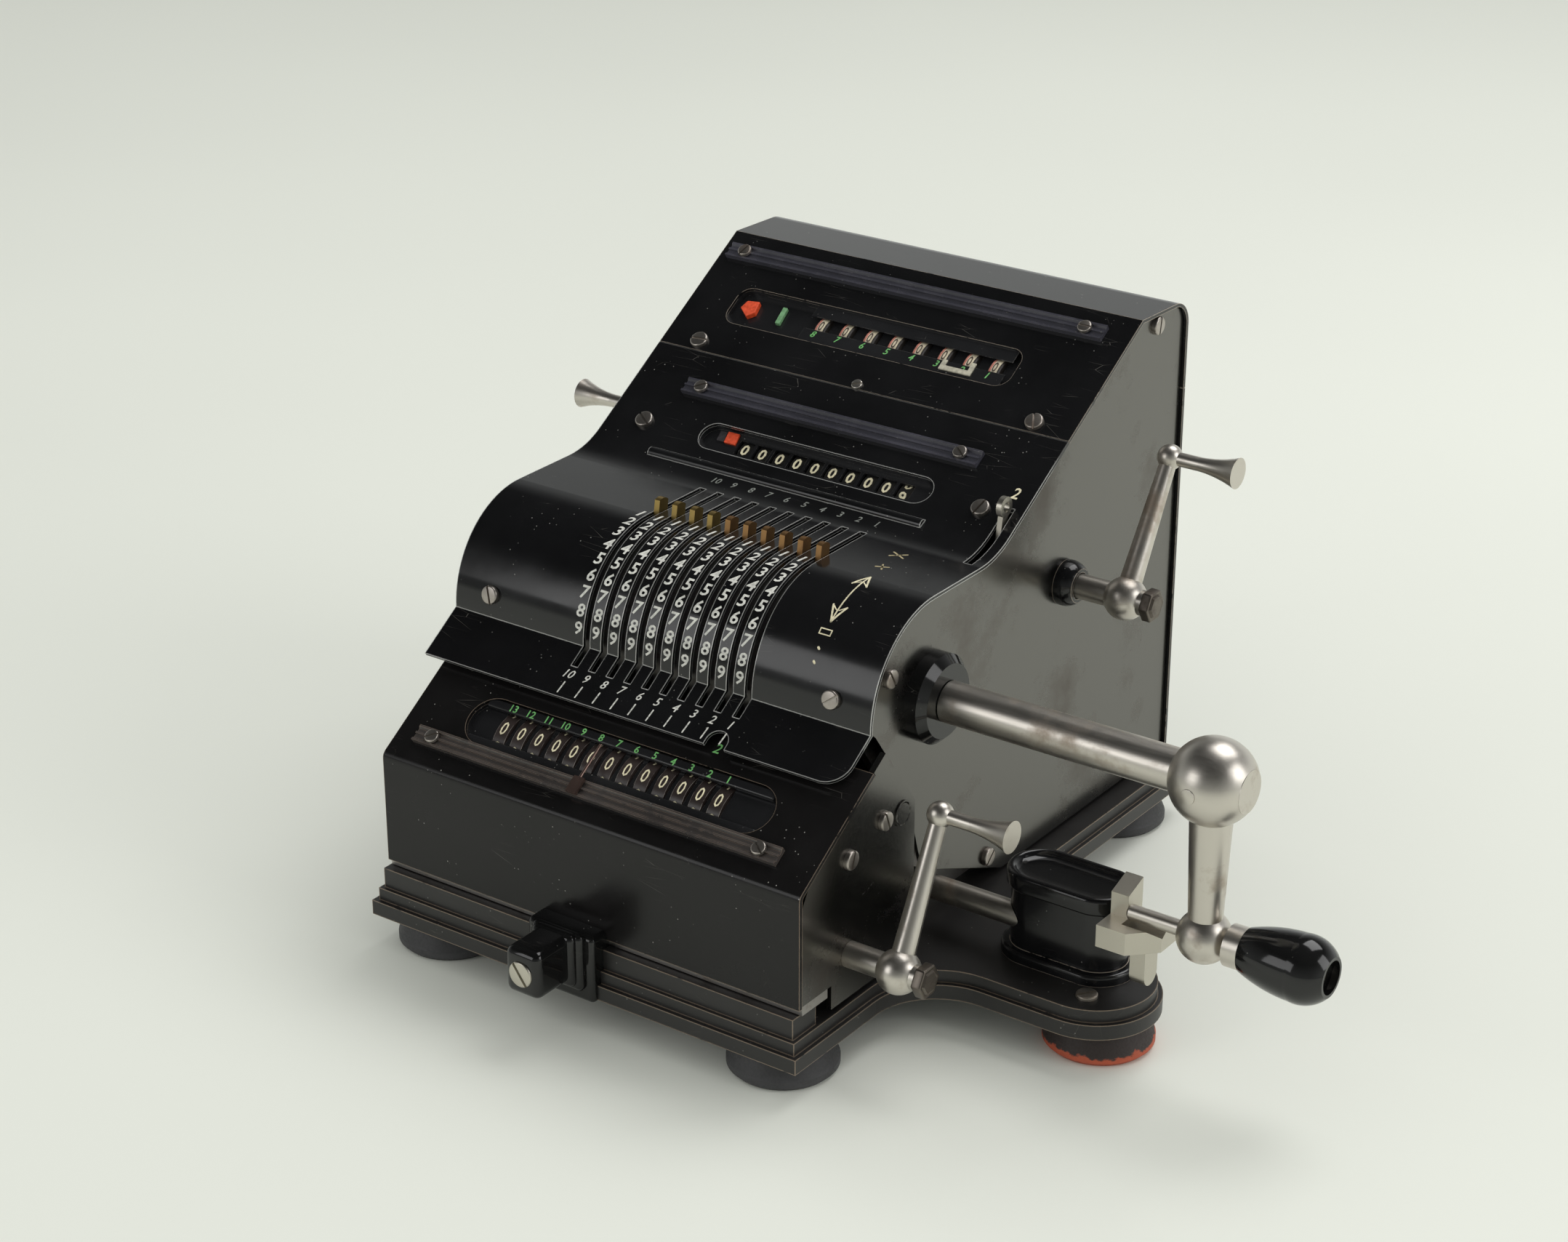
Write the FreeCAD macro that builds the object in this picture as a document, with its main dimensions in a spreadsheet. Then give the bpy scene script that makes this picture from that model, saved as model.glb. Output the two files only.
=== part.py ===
import FreeCAD, Part
import math
import os
import re

# A hand-cranked pinwheel calculator.
# X runs to the right, Y to the back and Z up, in millimetres.
# The sheet's places are measured from the point on the table below the middle of the covers.
# The finished pieces are moved so that the origin is on the table, below the middle of the whole.

V = FreeCAD.Vector
doc = FreeCAD.newDocument("pinwheel_calculator")
sheet = doc.addObject("Spreadsheet::Sheet", "sizes")

SIZES = {
    # Columns and drum
    "column_pitch": 7.0,
    "first_column_x": 36.0,
    "setting_columns": 10,
    "result_columns": 13,
    "counter_columns": 8,
    "drum_y": -35.0,
    "drum_z": 101.5,
    "disc_radius": 30.4,
    "disc_width": 3.1,
    "disc_hub_radius": 12.0,
    "pin_width": 1.4,
    "pin_breadth": 2.0,
    "pin_seat_radius": 19.5,
    "pins_per_disc": 9,
    "disc_skin": 0.2,
    "pin_recess": 0.5,
    "pin_spacing_angle": 8.9,
    "gear_offset": 3.5,
    "shaft_radius": 4.5,
    "bearing_gap": 0.08,
    "side_gap": 0.3,
    "crank_lean_angle": 9.4,
    # Setting levers
    "lever_width": 2.0,
    "lever_ring_radius": 16.0,
    "lever_tip_radius": 38.4,
    "lever_breadth": 4.5,
    "lever_tip_round": 0.8,
    "slot_width": 2.6,
    "slot_front_y": -74.8,
    "slot_back_y": -6.9,
    # Sheet covers
    "side_room": 10.6,
    "cover_gauge": 1.2,
    "cover_arc_radius": 33.5,
    "lip_front_y": -84.4,
    "lip_front_z": 90.8,
    "lip_corner_radius": 8.0,
    "lip_notch_x": 34.5,
    "lip_notch_half_width": 3.85,
    "lip_notch_depth": 5.8,
    "slope_angle": 32.0,
    "slope_bend_radius": 31.4,
    "slope_foot_y": -0.2,
    "seam_y": 40.8,
    "seam_gap": 0.2,
    "crest_y": 85.3,
    "top_fall": 0.6,
    "rear_bend_radius": 9.0,
    "rear_face_y": 115.8,
    "rear_seam_z": 156.5,
    "rear_foot_z": 22.0,
    "bead_radius": 1.9,
    "bead_y": 4.2,
    "bead_sink": 0.4,
    "bead_left_x": -57.0,
    "bead_right_x": 51.0,
    # Side panels and frame
    "panel_gauge": 1.2,
    "panel_inset": 1.2,
    "panel_front_y": -37.2,
    "panel_front_z": 42.3,
    "panel_foot_y": 10.1,
    "frame_room": 4.5,
    "frame_gauge": 3.0,
    "frame_front_y": -47.5,
    "frame_shoulder_z": 76.0,
    "frame_knee_gap": 4.5,
    "frame_knee_drop": 3.0,
    "tie_rod_radius": 3.0,
    "low_tie_y": 1.0,
    "low_tie_z": 30.1,
    "high_tie_y": 96.5,
    "high_tie_fall": 5.1,
    "rear_tie_y": 100.0,
    "rear_tie_z": 40.0,
    "front_stud_y": -57.0,
    "front_stud_z": 115.6,
    # Base
    "foot_height": 11.0,
    "foot_radius": 17.5,
    "foot_waist_radius": 14.5,
    "foot_edge_round": 1.5,
    "foot_rim_height": 3.5,
    "side_feet_inset": 17.6,
    "end_feet_inset": 18.5,
    "lobe_foot_setback": 7.0,
    "lobe_foot_y": -31.0,
    "slab_left_margin": 3.5,
    "slab_right_margin": 2.1,
    "slab_front_margin": 5.0,
    "slab_step": 5.1,
    "upper_step": 4.3,
    "step_inset": 1.7,
    "lobe_front_y": -52.0,
    "lobe_end_radius": 21.5,
    "lobe_end_setback": 10.0,
    "lobe_sweep_radius": 23.0,
    "rail_left_margin": 0.5,
    "rail_right_inset": 1.1,
    "rail_front_margin": 1.8,
    "rail_depth": 11.8,
    "rail_top_z": 27.3,
    # Crank rest
    "pedestal_length": 45.0,
    "pedestal_y": -24.5,
    "pedestal_foot_radius": 12.5,
    "pedestal_waist_inset": 2.5,
    "pedestal_rim_inset": 1.2,
    "pedestal_foot_rise": 3.6,
    "pedestal_rim_height": 6.0,
    "pedestal_top_z": 50.0,
    "pedestal_dish_depth": 2.0,
    "pedestal_dish_inset": 3.0,
    "stay_rod_radius": 4.0,
    "stay_rod_y": -30.0,
    "stay_rod_z": 33.0,
    "catch_breadth": 17.0,
    "catch_plate_width": 3.5,
    "catch_saddle_width": 12.0,
    "catch_chamfer": 8.0,
    "catch_foot_z": 40.0,
    "catch_top_z": 58.0,
    "catch_top_fall": 3.0,
    "catch_groove_half_width": 4.0,
    "catch_groove_depth": 3.0,
    "catch_tongue_width": 5.2,
    "catch_tongue_breadth": 7.6,
    "catch_tongue_inset": 3.4,
    "catch_tongue_drop": 8.6,
    # Main crank
    "boss_radius": 14.4,
    "boss_length": 7.0,
    "boss_bevel": 2.5,
    "sleeve_radius": 6.65,
    "crank_ball_x": 178.4,
    "crank_ball_radius": 13.5,
    "crank_cap_radius": 6.7,
    "crank_cap_x": 190.3,
    "cap_wall": 1.5,
    "crank_throw": 51.3,
    "arm_top_radius": 6.95,
    "arm_foot_radius": 5.0,
    "arm_ball_radius": 8.5,
    "locating_pin_radius": 2.5,
    "locating_pin_reach": 25.6,
    "pin_point": 0.8,
    "ferrule_radius": 6.6,
    "ferrule_length": 5.0,
    "spindle_radius": 3.6,
    "grip_length": 27.7,
    "grip_bulb_radius": 10.5,
    "grip_neck_radius": 7.0,
    "grip_bulb_share": 0.62,
    "grip_swell": 0.8,
    "grip_end_wall": 1.0,
    "grip_end_hole_radius": 5.3,
    "grip_end_hole_depth": 3.0,
    # Clearing cranks
    "clear_shaft_radius": 4.15,
    "clear_ball_radius": 7.1,
    "clear_arm_root_radius": 3.8,
    "clear_arm_tip_radius": 2.7,
    "clear_tip_ball_radius": 4.2,
    "clear_handle_neck_radius": 2.3,
    "clear_handle_end_radius": 5.1,
    "clear_hub_length": 4.0,
    "clear_neck_share": 0.45,
    "shaft_boss_radius": 7.5,
    "shaft_boss_length": 6.0,
    "shaft_boss_wall": 1.2,
    "clear_flare_share": 0.3,
    "result_clear_y": -86.6,
    "result_clear_z": 37.4,
    "result_clear_tip_y": -65.5,
    "result_clear_tip_z": 81.1,
    "result_clear_standoff": 17.9,
    "result_clear_handle_length": 25.0,
    "counter_clear_y": 43.6,
    "counter_clear_z": 111.4,
    "counter_clear_tip_y": 68.3,
    "counter_clear_tip_z": 151.7,
    "counter_clear_ball_x": 102.6,
    "counter_clear_handle_x": 127.0,
    "setting_clear_y": 28.0,
    "setting_clear_z": 88.0,
    "setting_clear_tip_y": 51.5,
    "setting_clear_tip_z": 129.4,
    "setting_clear_ball_x": 100.0,
    "setting_clear_handle_x": 124.0,
    # Setting register
    "dial_radius": 8.5,
    "dial_width": 5.2,
    "dial_depth": 3.6,
    "dial_line_y": 14.25,
    "wheel_bevel": 0.4,
    "register_axle_radius": 1.6,
    "setting_window_left_x": -43.8,
    "setting_window_right_x": 47.5,
    "setting_window_breadth": 10.7,
    # Counter
    "counter_pitch": 9.83,
    "counter_first_x": 41.3,
    "counter_wheel_radius": 8.3,
    "counter_wheel_width": 4.4,
    "counter_depth": 1.1,
    "counter_line_y": 59.7,
    "counter_window_left_x": -64.0,
    "counter_window_right_x": 49.5,
    "counter_window_breadth": 16.0,
    "counter_window_corner": 5.0,
    # Window pans
    "pan_flange": 2.0,
    "pan_floor_gauge": 1.0,
    "pan_floor_depth": 3.0,
    # Decimal rails
    "rail_strip_breadth": 5.8,
    "rail_strip_height": 1.8,
    "rail_strip_groove": 0.7,
    "rail_rib_share": 0.22,
    "setting_rail_left_inset": 21.1,
    "setting_rail_right_inset": 24.3,
    "setting_rail_y": 28.0,
    "counter_rail_left_inset": 3.1,
    "counter_rail_right_inset": 9.4,
    "counter_rail_y": 77.5,
    "carriage_rail_left_inset": 7.8,
    "carriage_rail_right_inset": 12.9,
    "carriage_rail_fall": 10.1,
    "rail_screw_inset": 7.0,
    "rail_screw_radius": 2.4,
    "rail_screw_height": 1.3,
    "cover_screw_radius": 3.1,
    "cover_screw_height": 1.6,
    "cover_screw_inset": 14.6,
    "front_screw_angle": 13.0,
    "slope_screw_y": 13.4,
    "seam_screw_y": 44.2,
    # Carriage
    "carriage_left_x": -75.5,
    "carriage_right_x": 86.6,
    "carriage_gauge": 1.5,
    "carriage_nose": 18.5,
    "carriage_foot_rise": 2.6,
    "carriage_bend_radius": 3.0,
    "carriage_slope_angle": 33.7,
    "carriage_top_end_y": -74.6,
    "end_plate_gauge": 2.0,
    "end_plate_back_y": -52.0,
    "end_plate_peak_y": -68.3,
    "end_plate_shoulder_z": 75.0,
    "end_plate_foot_z": 22.5,
    "end_plate_notch_depth": 16.5,
    "slide_bar_depth": 13.0,
    "slide_bar_lap": 0.8,
    "result_wheel_radius": 11.0,
    "result_wheel_width": 4.6,
    "result_drop_angle": 31.48,
    "gear_line_slack": 0.95,
    "result_depth": 1.6,
    "result_floor_depth": 2.8,
    "result_window_left_x": -54.5,
    "result_window_right_x": 63.5,
    "result_window_breadth": 17.4,
    "gear_width": 1.4,
    "hub_wall": 1.5,
    "result_gear_teeth": 10,
    "transfer_gear_teeth": 14,
    "gear_pitch_radius": 7.9,
    "tooth_rise": 0.6,
    "tooth_dip": 1.3,
    "tooth_tip_width": 0.8,
    "tooth_root_width": 2.0,
    "pin_reach_radius": 32.0,
    "pin_engagement": 0.7,
    "carriage_axle_radius": 2.0,
    "pointer_x": -2.5,
    "pointer_width": 4.0,
    "pointer_wire_radius": 0.5,
    "pointer_gauge": 1.0,
    "pointer_reach": 13.0,
    # Selector lever
    "selector_gap": 4.5,
    "selector_slot_width": 3.0,
    "selector_slot_front_y": -8.6,
    "selector_slot_back_y": 16.0,
    "selector_pivot_y": 4.0,
    "selector_pivot_z": 105.0,
    "selector_pivot_radius": 2.0,
    "selector_gauge": 1.8,
    "selector_stem_breadth": 3.0,
    "selector_tip_y": 12.0,
    "selector_tip_z": 147.0,
    "selector_loop_radius": 3.4,
    # Carriage shift handle
    "shift_x": 1.0,
    "shift_z": 25.6,
    "shift_travel": 4.0,
    "shift_flange_half_width": 13.0,
    "shift_flange_foot_z": 10.0,
    "shift_arch_rise": 10.0,
    "shift_bar_crown": 2.6,
    "shift_flange_gauge": 1.7,
    "shift_bar_half_width": 6.75,
    "shift_bar_half_height": 8.0,
    "shift_bar_length": 19.5,
    "shift_key_half_width": 8.0,
    "shift_key_depth": 7.5,
}

for row, (alias, number) in enumerate(SIZES.items(), start=1):
    sheet.set(f"A{row}", str(number))
    sheet.setAlias(f"A{row}", alias)
doc.recompute()


WORKED_OUT = {}


class Dimensions:
    """The sheet's cells, and what is worked out from them, read by name."""

    def __getattr__(self, name):
        """One size or place."""
        return WORKED_OUT[name] if name in WORKED_OUT else float(sheet.get(name))


d = Dimensions()
PIECES = []

# Places and sizes that follow from others
# The frame plates stand just outside the widest tray, and the covers and the selector outside them.

WORKED_OUT["frame_half_width"] = d.frame_room + d.pan_flange - d.counter_window_left_x
WORKED_OUT["cover_half_width"] = d.frame_half_width + d.side_room
WORKED_OUT["cover_screw_x"] = d.cover_half_width - d.cover_screw_inset
WORKED_OUT["selector_x"] = d.frame_half_width + d.selector_gap
for rail_name in ("setting_rail", "counter_rail"):
    WORKED_OUT[f"{rail_name}_left_x"] = getattr(d, f"{rail_name}_left_inset") - d.cover_half_width
    WORKED_OUT[f"{rail_name}_right_x"] = d.cover_half_width - getattr(d, f"{rail_name}_right_inset")

# The result wheels stand where their transfer gears reach the drum's pins, and the carriage's roof
# passes just over them.

carriage_rise = math.tan(math.radians(d.carriage_slope_angle))
carriage_cos = math.cos(math.radians(d.carriage_slope_angle))
carriage_sin = math.sin(math.radians(d.carriage_slope_angle))
transfer_pitch = d.gear_pitch_radius * d.transfer_gear_teeth / d.result_gear_teeth
transfer_to_result = d.gear_pitch_radius + transfer_pitch
transfer_to_drum = d.pin_reach_radius + transfer_pitch + d.tooth_rise - d.pin_engagement
drum_to_result = transfer_to_result + transfer_to_drum - d.gear_line_slack
drop = math.radians(d.result_drop_angle)
RESULT_AXIS = (d.drum_y - drum_to_result * math.cos(drop), d.drum_z - drum_to_result * math.sin(drop))
roof_lift = d.result_depth + d.result_wheel_radius
WORKED_OUT["result_line_y"] = RESULT_AXIS[0] - roof_lift * carriage_sin
WORKED_OUT["result_line_z"] = RESULT_AXIS[1] + roof_lift * carriage_cos
WORKED_OUT["carriage_rail_y"] = d.result_line_y - d.carriage_rail_fall
WORKED_OUT["carriage_front_y"] = d.result_line_y - d.carriage_nose
WORKED_OUT["carriage_bend_z"] = d.result_line_z - d.carriage_nose * carriage_rise
WORKED_OUT["carriage_foot_z"] = d.rail_top_z + d.carriage_foot_rise
WORKED_OUT["carriage_rail_left_x"] = d.carriage_left_x + d.carriage_rail_left_inset
WORKED_OUT["carriage_rail_right_x"] = d.carriage_right_x - d.carriage_rail_right_inset
WORKED_OUT["end_plate_notch_y"] = d.carriage_front_y + d.end_plate_notch_depth
WORKED_OUT["result_clear_ball_x"] = d.carriage_right_x + d.result_clear_standoff
WORKED_OUT["result_clear_handle_x"] = d.result_clear_ball_x + d.result_clear_handle_length

# The base reaches a little past the carriage, the handle hangs on the base's front edge, and the
# crank rest ends where the crank's pin does.

WORKED_OUT["slab_left_x"] = d.carriage_left_x - d.slab_left_margin
WORKED_OUT["slab_right_x"] = d.carriage_right_x + d.slab_right_margin
WORKED_OUT["slab_half_depth"] = d.slab_front_margin - d.carriage_front_y
WORKED_OUT["right_feet_x"] = d.slab_right_x - d.side_feet_inset
WORKED_OUT["left_feet_x"] = d.slab_left_x + d.side_feet_inset
WORKED_OUT["feet_half_depth"] = d.slab_half_depth - d.end_feet_inset
WORKED_OUT["rail_left_x"] = d.carriage_left_x - d.rail_left_margin
WORKED_OUT["rail_right_x"] = d.carriage_right_x - d.rail_right_inset
WORKED_OUT["rail_front_y"] = d.carriage_front_y - d.rail_front_margin
WORKED_OUT["shift_flange_face_y"] = -d.slab_half_depth - d.side_gap - d.shift_flange_gauge
WORKED_OUT["shift_key_back_y"] = d.shift_key_depth - d.slab_half_depth
WORKED_OUT["shift_bar_end_y"] = d.shift_flange_face_y - d.shift_bar_length
WORKED_OUT["pedestal_right_x"] = d.crank_ball_x - d.locating_pin_reach - d.catch_plate_width - d.side_gap
WORKED_OUT["pedestal_left_x"] = d.pedestal_right_x - d.pedestal_length
WORKED_OUT["lobe_end_x"] = d.pedestal_right_x - d.lobe_end_setback
WORKED_OUT["lobe_foot_x"] = d.pedestal_right_x - d.lobe_foot_setback
ferrule_reach = d.arm_ball_radius + d.ferrule_length + 2 * d.side_gap
WORKED_OUT["grip_end_x"] = d.crank_ball_x + ferrule_reach + d.grip_length

# The origin is below the middle of the whole: half way from the setting clearing crank's handle to
# the grip's end, and from the shift handle's end to the base's back.

WORKED_OUT["origin_x"] = (d.grip_end_x - d.setting_clear_handle_x) / 2
WORKED_OUT["origin_y"] = (d.slab_half_depth + d.shift_bar_end_y) / 2


def named(match):
    """A word of an expression as its cell, or as its number where it is worked out."""
    word = match.group(0)
    if word in WORKED_OUT:
        return f"({WORKED_OUT[word]})"
    return f"sizes.{word}" if word in SIZES else word


def bind(thing, prop, size):
    """Ties a property to an expression of the sheet's names, or to a number worked out from them."""
    thing.setExpression(prop, re.sub(r"[a-z]\w+", named, str(size)))


def locate(thing, x=0, y=0, z=0, turn=None):
    """Turns a thing, then ties its place to the sheet."""
    thing.Placement = FreeCAD.Placement(V(), turn or FreeCAD.Rotation())
    for letter, size in zip("xyz", (x, y, z)):
        if size != 0:
            bind(thing, f"Placement.Base.{letter}", size)
    return thing


ALONG_X = FreeCAD.Rotation(V(0, 1, 0), 90)
ALONG_Y = FreeCAD.Rotation(V(1, 0, 0), -90)


def cylinder(name, radius, length, x=0, y=0, z=0, turn=None):
    """A round rod or bore."""
    rod = doc.addObject("Part::Cylinder", name)
    bind(rod, "Radius", radius)
    bind(rod, "Height", length)
    return locate(rod, x, y, z, turn)


def box(name, width, depth, height, x=0, y=0, z=0, turn=None):
    """A straight-sided block."""
    block = doc.addObject("Part::Box", name)
    bind(block, "Length", width)
    bind(block, "Width", depth)
    bind(block, "Height", height)
    return locate(block, x, y, z, turn)


def sphere(name, radius, x, y, z):
    """A ball."""
    ball = doc.addObject("Part::Sphere", name)
    bind(ball, "Radius", radius)
    return locate(ball, x, y, z)


def fuse(name, shapes):
    """Several shapes as one solid."""
    union = doc.addObject("Part::MultiFuse", name)
    union.Shapes = shapes
    return union


def cut(name, base, tools):
    """A shape with others taken out of it."""
    tool = tools[0]
    if len(tools) > 1:
        tool = doc.addObject("Part::Compound", f"{name}_cutters")
        tool.Links = tools
    difference = doc.addObject("Part::Cut", name)
    difference.Base = base
    difference.Tool = tool
    return difference


def group(name, shapes):
    """Several solids that make one piece."""
    bundle = doc.addObject("Part::Compound", name)
    bundle.Links = shapes
    return bundle


def piece(name, thing):
    """Makes a finished object one of the calculator's pieces."""
    thing.Label = name
    PIECES.append(thing)
    return thing


def shaped(name, shape):
    """Holds a shape that is worked out from the sheet's sizes."""
    feature = doc.addObject("Part::Feature", name)
    feature.Shape = shape
    return feature


def draw(sketch, points):
    """Draws a closed outline. A point with a third value ends an arc through that middle point."""
    corners = [V(p[0], p[1], 0) for p in points]
    for index, point in enumerate(points):
        start = corners[index - 1]
        end = corners[index]
        if len(point) > 2:
            sketch.addGeometry(Part.Arc(start, V(*point[2], 0), end))
        else:
            sketch.addGeometry(Part.LineSegment(start, end))


def body_on(name, role):
    """A new body with a sketch on one of its own origin planes."""
    body = doc.addObject("PartDesign::Body", name)
    plane = next(f for f in body.Origin.OriginFeatures if f.Role == role)
    sketch = body.newObject("Sketcher::SketchObject", f"{name}_outline")
    sketch.AttachmentSupport = (plane, "")
    sketch.MapMode = "FlatFace"
    return body, sketch


def padded(name, role, points, length, x=0, y=0, z=0, holes=(), turn=None):
    """An outline padded along the plane's normal, with round holes given as (across, up, radius)."""
    body, sketch = body_on(name, role)
    draw(sketch, points)
    for across, up, radius in holes:
        sketch.addGeometry(Part.Circle(V(across, up, 0), V(0, 0, 1), radius))
    pad = body.newObject("PartDesign::Pad", f"{name}_pad")
    pad.Profile = sketch
    bind(pad, "Length", length)
    return locate(body, x, y, z, turn)


def turned(name, points, x=0, y=0, z=0, turn=None):
    """A half outline, as (along, radius), spun about the X axis."""
    body, sketch = body_on(name, "XY_Plane")
    draw(sketch, points)
    spin = body.newObject("PartDesign::Revolution", f"{name}_spin")
    spin.Profile = sketch
    spin.ReferenceAxis = (sketch, ["H_Axis"])
    spin.Angle = 360
    return locate(body, x, y, z, turn)


SIDE_VIEW = FreeCAD.Rotation(V(0, 1, 0), V(0, 0, 1), V(1, 0, 0), "ZXY")


def bent_sheet(name, path, gauge, left, width):
    """Sheet bent along an open path in the side view, and as wide as given."""
    sketch = doc.addObject("Sketcher::SketchObject", f"{name}_path")
    corners = [V(p[0], p[1], 0) for p in path]
    for index in range(1, len(path)):
        if len(path[index]) > 2:
            sketch.addGeometry(Part.Arc(corners[index - 1], V(*path[index][2], 0), corners[index]))
        else:
            sketch.addGeometry(Part.LineSegment(corners[index - 1], corners[index]))
    locate(sketch, left, turn=SIDE_VIEW)
    wall = doc.addObject("Part::Offset2D", f"{name}_section")
    wall.Source = sketch
    wall.Fill = True
    wall.Mode = "Skin"
    wall.Join = "Intersection"
    bind(wall, "Value", gauge)
    run = doc.addObject("Part::Extrusion", f"{name}_run")
    run.Base = wall
    run.DirMode = "Custom"
    run.Dir = V(1, 0, 0)
    run.Solid = True
    bind(run, "LengthFwd", width)
    return run


def arc_middle(centre, radius, degrees):
    """The point of an arc at an angle from the outline's first axis."""
    angle = math.radians(degrees)
    return (centre[0] + radius * math.cos(angle), centre[1] + radius * math.sin(angle))


def capsule(left, right, half, middle=0.0):
    """A slot-shaped outline from left to right."""
    return [
        (right - half, middle - half),
        (right - half, middle + half, (right, middle)),
        (left + half, middle + half),
        (left + half, middle - half, (left, middle)),
    ]


# The covers' side outline

slope_rise = math.tan(math.radians(d.slope_angle))
slope_cos = math.cos(math.radians(d.slope_angle))
slope_sin = math.sin(math.radians(d.slope_angle))
flat_z = d.drum_z + d.cover_arc_radius
bend_tangent = d.slope_bend_radius * math.tan(math.radians(d.slope_angle / 2))
bend_centre = (d.slope_foot_y - bend_tangent, flat_z + d.slope_bend_radius)
crease_y = d.drum_y - d.cover_arc_radius


def slope_z(y):
    """Height of the covers' outer face on the long slope."""
    return flat_z + (y - d.slope_foot_y) * slope_rise


drum_centre = (d.drum_y, d.drum_z)
front_path = [
    (d.lip_front_y, d.lip_front_z),
    (crease_y, d.drum_z),
    (d.drum_y, flat_z, arc_middle(drum_centre, d.cover_arc_radius, 135)),
    (d.slope_foot_y - bend_tangent, flat_z),
    (
        d.slope_foot_y + bend_tangent * slope_cos,
        flat_z + bend_tangent * slope_sin,
        arc_middle(bend_centre, d.slope_bend_radius, d.slope_angle / 2 - 90),
    ),
    (d.seam_y, slope_z(d.seam_y)),
]
crest_z = slope_z(d.crest_y)
rear_top_z = crest_z - d.top_fall
WORKED_OUT["high_tie_z"] = crest_z - d.high_tie_fall
rear_bend_centre = (d.rear_face_y - d.rear_bend_radius, rear_top_z - d.rear_bend_radius)
upper_path = [
    (d.seam_y + d.seam_gap, slope_z(d.seam_y + d.seam_gap)),
    (d.crest_y, crest_z),
    (rear_bend_centre[0], rear_top_z),
    (d.rear_face_y, rear_bend_centre[1], arc_middle(rear_bend_centre, d.rear_bend_radius, 45)),
    (d.rear_face_y, d.rear_seam_z),
]

LEAN = FreeCAD.Rotation(V(1, 0, 0), d.slope_angle)


def column_x(column):
    """Expression for the middle of a lever's slot, counted from the right."""
    return f"(first_column_x - {column} * column_pitch)"


def on_slope(y, z_fall):
    """Side-view point below the long slope's outer face, straight in from the face."""
    return (y + z_fall * slope_sin, slope_z(y) - z_fall * slope_cos)


def tablet(left, right, breadth, corner):
    """A rectangle with round corners, or with round ends where the corner is half its breadth."""
    half = breadth / 2
    if corner >= half:
        return capsule(left, right, half)
    inner = half - corner
    turn_in = corner * (1 - math.sqrt(0.5))
    return [
        (left, -inner),
        (left + corner, -half, (left + turn_in, turn_in - half)),
        (right - corner, -half),
        (right, -inner, (right - turn_in, turn_in - half)),
        (right, inner),
        (right - corner, half, (right - turn_in, half - turn_in)),
        (left + corner, half),
        (left, inner, (left + turn_in, half - turn_in)),
    ]


def inward_block(name, points, top_depth, depth, y, z, lean):
    """An outline on a sloping face, padded straight in from one depth to another."""
    body = padded(name, "XY_Plane", points, depth - top_depth)
    sunk = FreeCAD.Placement(V(0, 0, -depth), FreeCAD.Rotation())
    body.Placement = FreeCAD.Placement(V(0, y, z), lean) * sunk
    return body


def window_pan(name, window, wheels, gauge, floor_depth, y, z, lean):
    """A shallow tray behind a window, with an opening for each wheel that shows through it."""
    left, right, breadth, corner = window
    wheel_centres, wheel_width, half_length = wheels
    flange = d.pan_flange
    rim = tablet(left - flange, right + flange, breadth + 2 * flange, corner + flange)
    tray = inward_block(f"{name}_block", rim, gauge, floor_depth + d.pan_floor_gauge, y, z, lean)
    well = inward_block(f"{name}_well", tablet(*window), gauge, floor_depth, y, z, lean)
    half = wheel_width / 2 + d.side_gap
    tools = [well]
    for number, centre in enumerate(wheel_centres, start=1):
        opening = [
            (centre - half, -half_length),
            (centre + half, -half_length),
            (centre + half, half_length),
            (centre - half, half_length),
        ]
        below = floor_depth + 2 * d.pan_floor_gauge
        tools.append(inward_block(f"{name}_opening_{number}", opening, gauge, below, y, z, lean))
    return cut(name, tray, tools)


def build_base():
    """The cast base: a stepped slab with a lobe for the crank rest, and the front rail."""

    def outline(inset):
        """The slab's outline, drawn in by an inset."""
        left = d.slab_left_x + inset
        right = d.slab_right_x - inset
        deep = d.slab_half_depth - inset
        sweep = d.lobe_sweep_radius + inset
        end_radius = d.lobe_end_radius - inset
        lobe_front = d.lobe_front_y + inset
        lobe_back = lobe_front + 2 * end_radius
        sweep_x = right + sweep
        front_centre = (sweep_x, lobe_front - sweep)
        back_centre = (sweep_x, lobe_back + sweep)
        end_centre = (d.lobe_end_x, lobe_front + end_radius)
        return [
            (left, -deep),
            (right, -deep),
            (right, front_centre[1]),
            (sweep_x, lobe_front, arc_middle(front_centre, sweep, 135)),
            (d.lobe_end_x, lobe_front),
            (d.lobe_end_x, lobe_back, arc_middle(end_centre, end_radius, 0)),
            (sweep_x, lobe_back),
            (right, back_centre[1], arc_middle(back_centre, sweep, 225)),
            (right, deep),
            (left, deep),
        ]

    slab = padded("base_slab", "XY_Plane", outline(0), "slab_step", z="foot_height")
    step = padded("base_step", "XY_Plane", outline(d.step_inset), "upper_step", z="foot_height + slab_step")
    step_top = "foot_height + slab_step + upper_step"
    rail = box(
        "base_rail", "rail_right_x - rail_left_x", "rail_depth",
        f"rail_top_z - ({step_top})", "rail_left_x", "rail_front_y", step_top,
    )
    key_reach = "shift_key_half_width + shift_travel + side_gap"
    key_way = box(
        "base_key_way", f"2 * ({key_reach})", "slab_half_depth + shift_key_back_y + side_gap",
        "rail_top_z - foot_height - slab_step", f"shift_x - ({key_reach})", "-1 * slab_half_depth",
        "foot_height + slab_step",
    )
    whole = fuse("base_whole", [slab, step, rail])
    piece("base_plate", cut("base_plate", whole, [key_way]))


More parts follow.
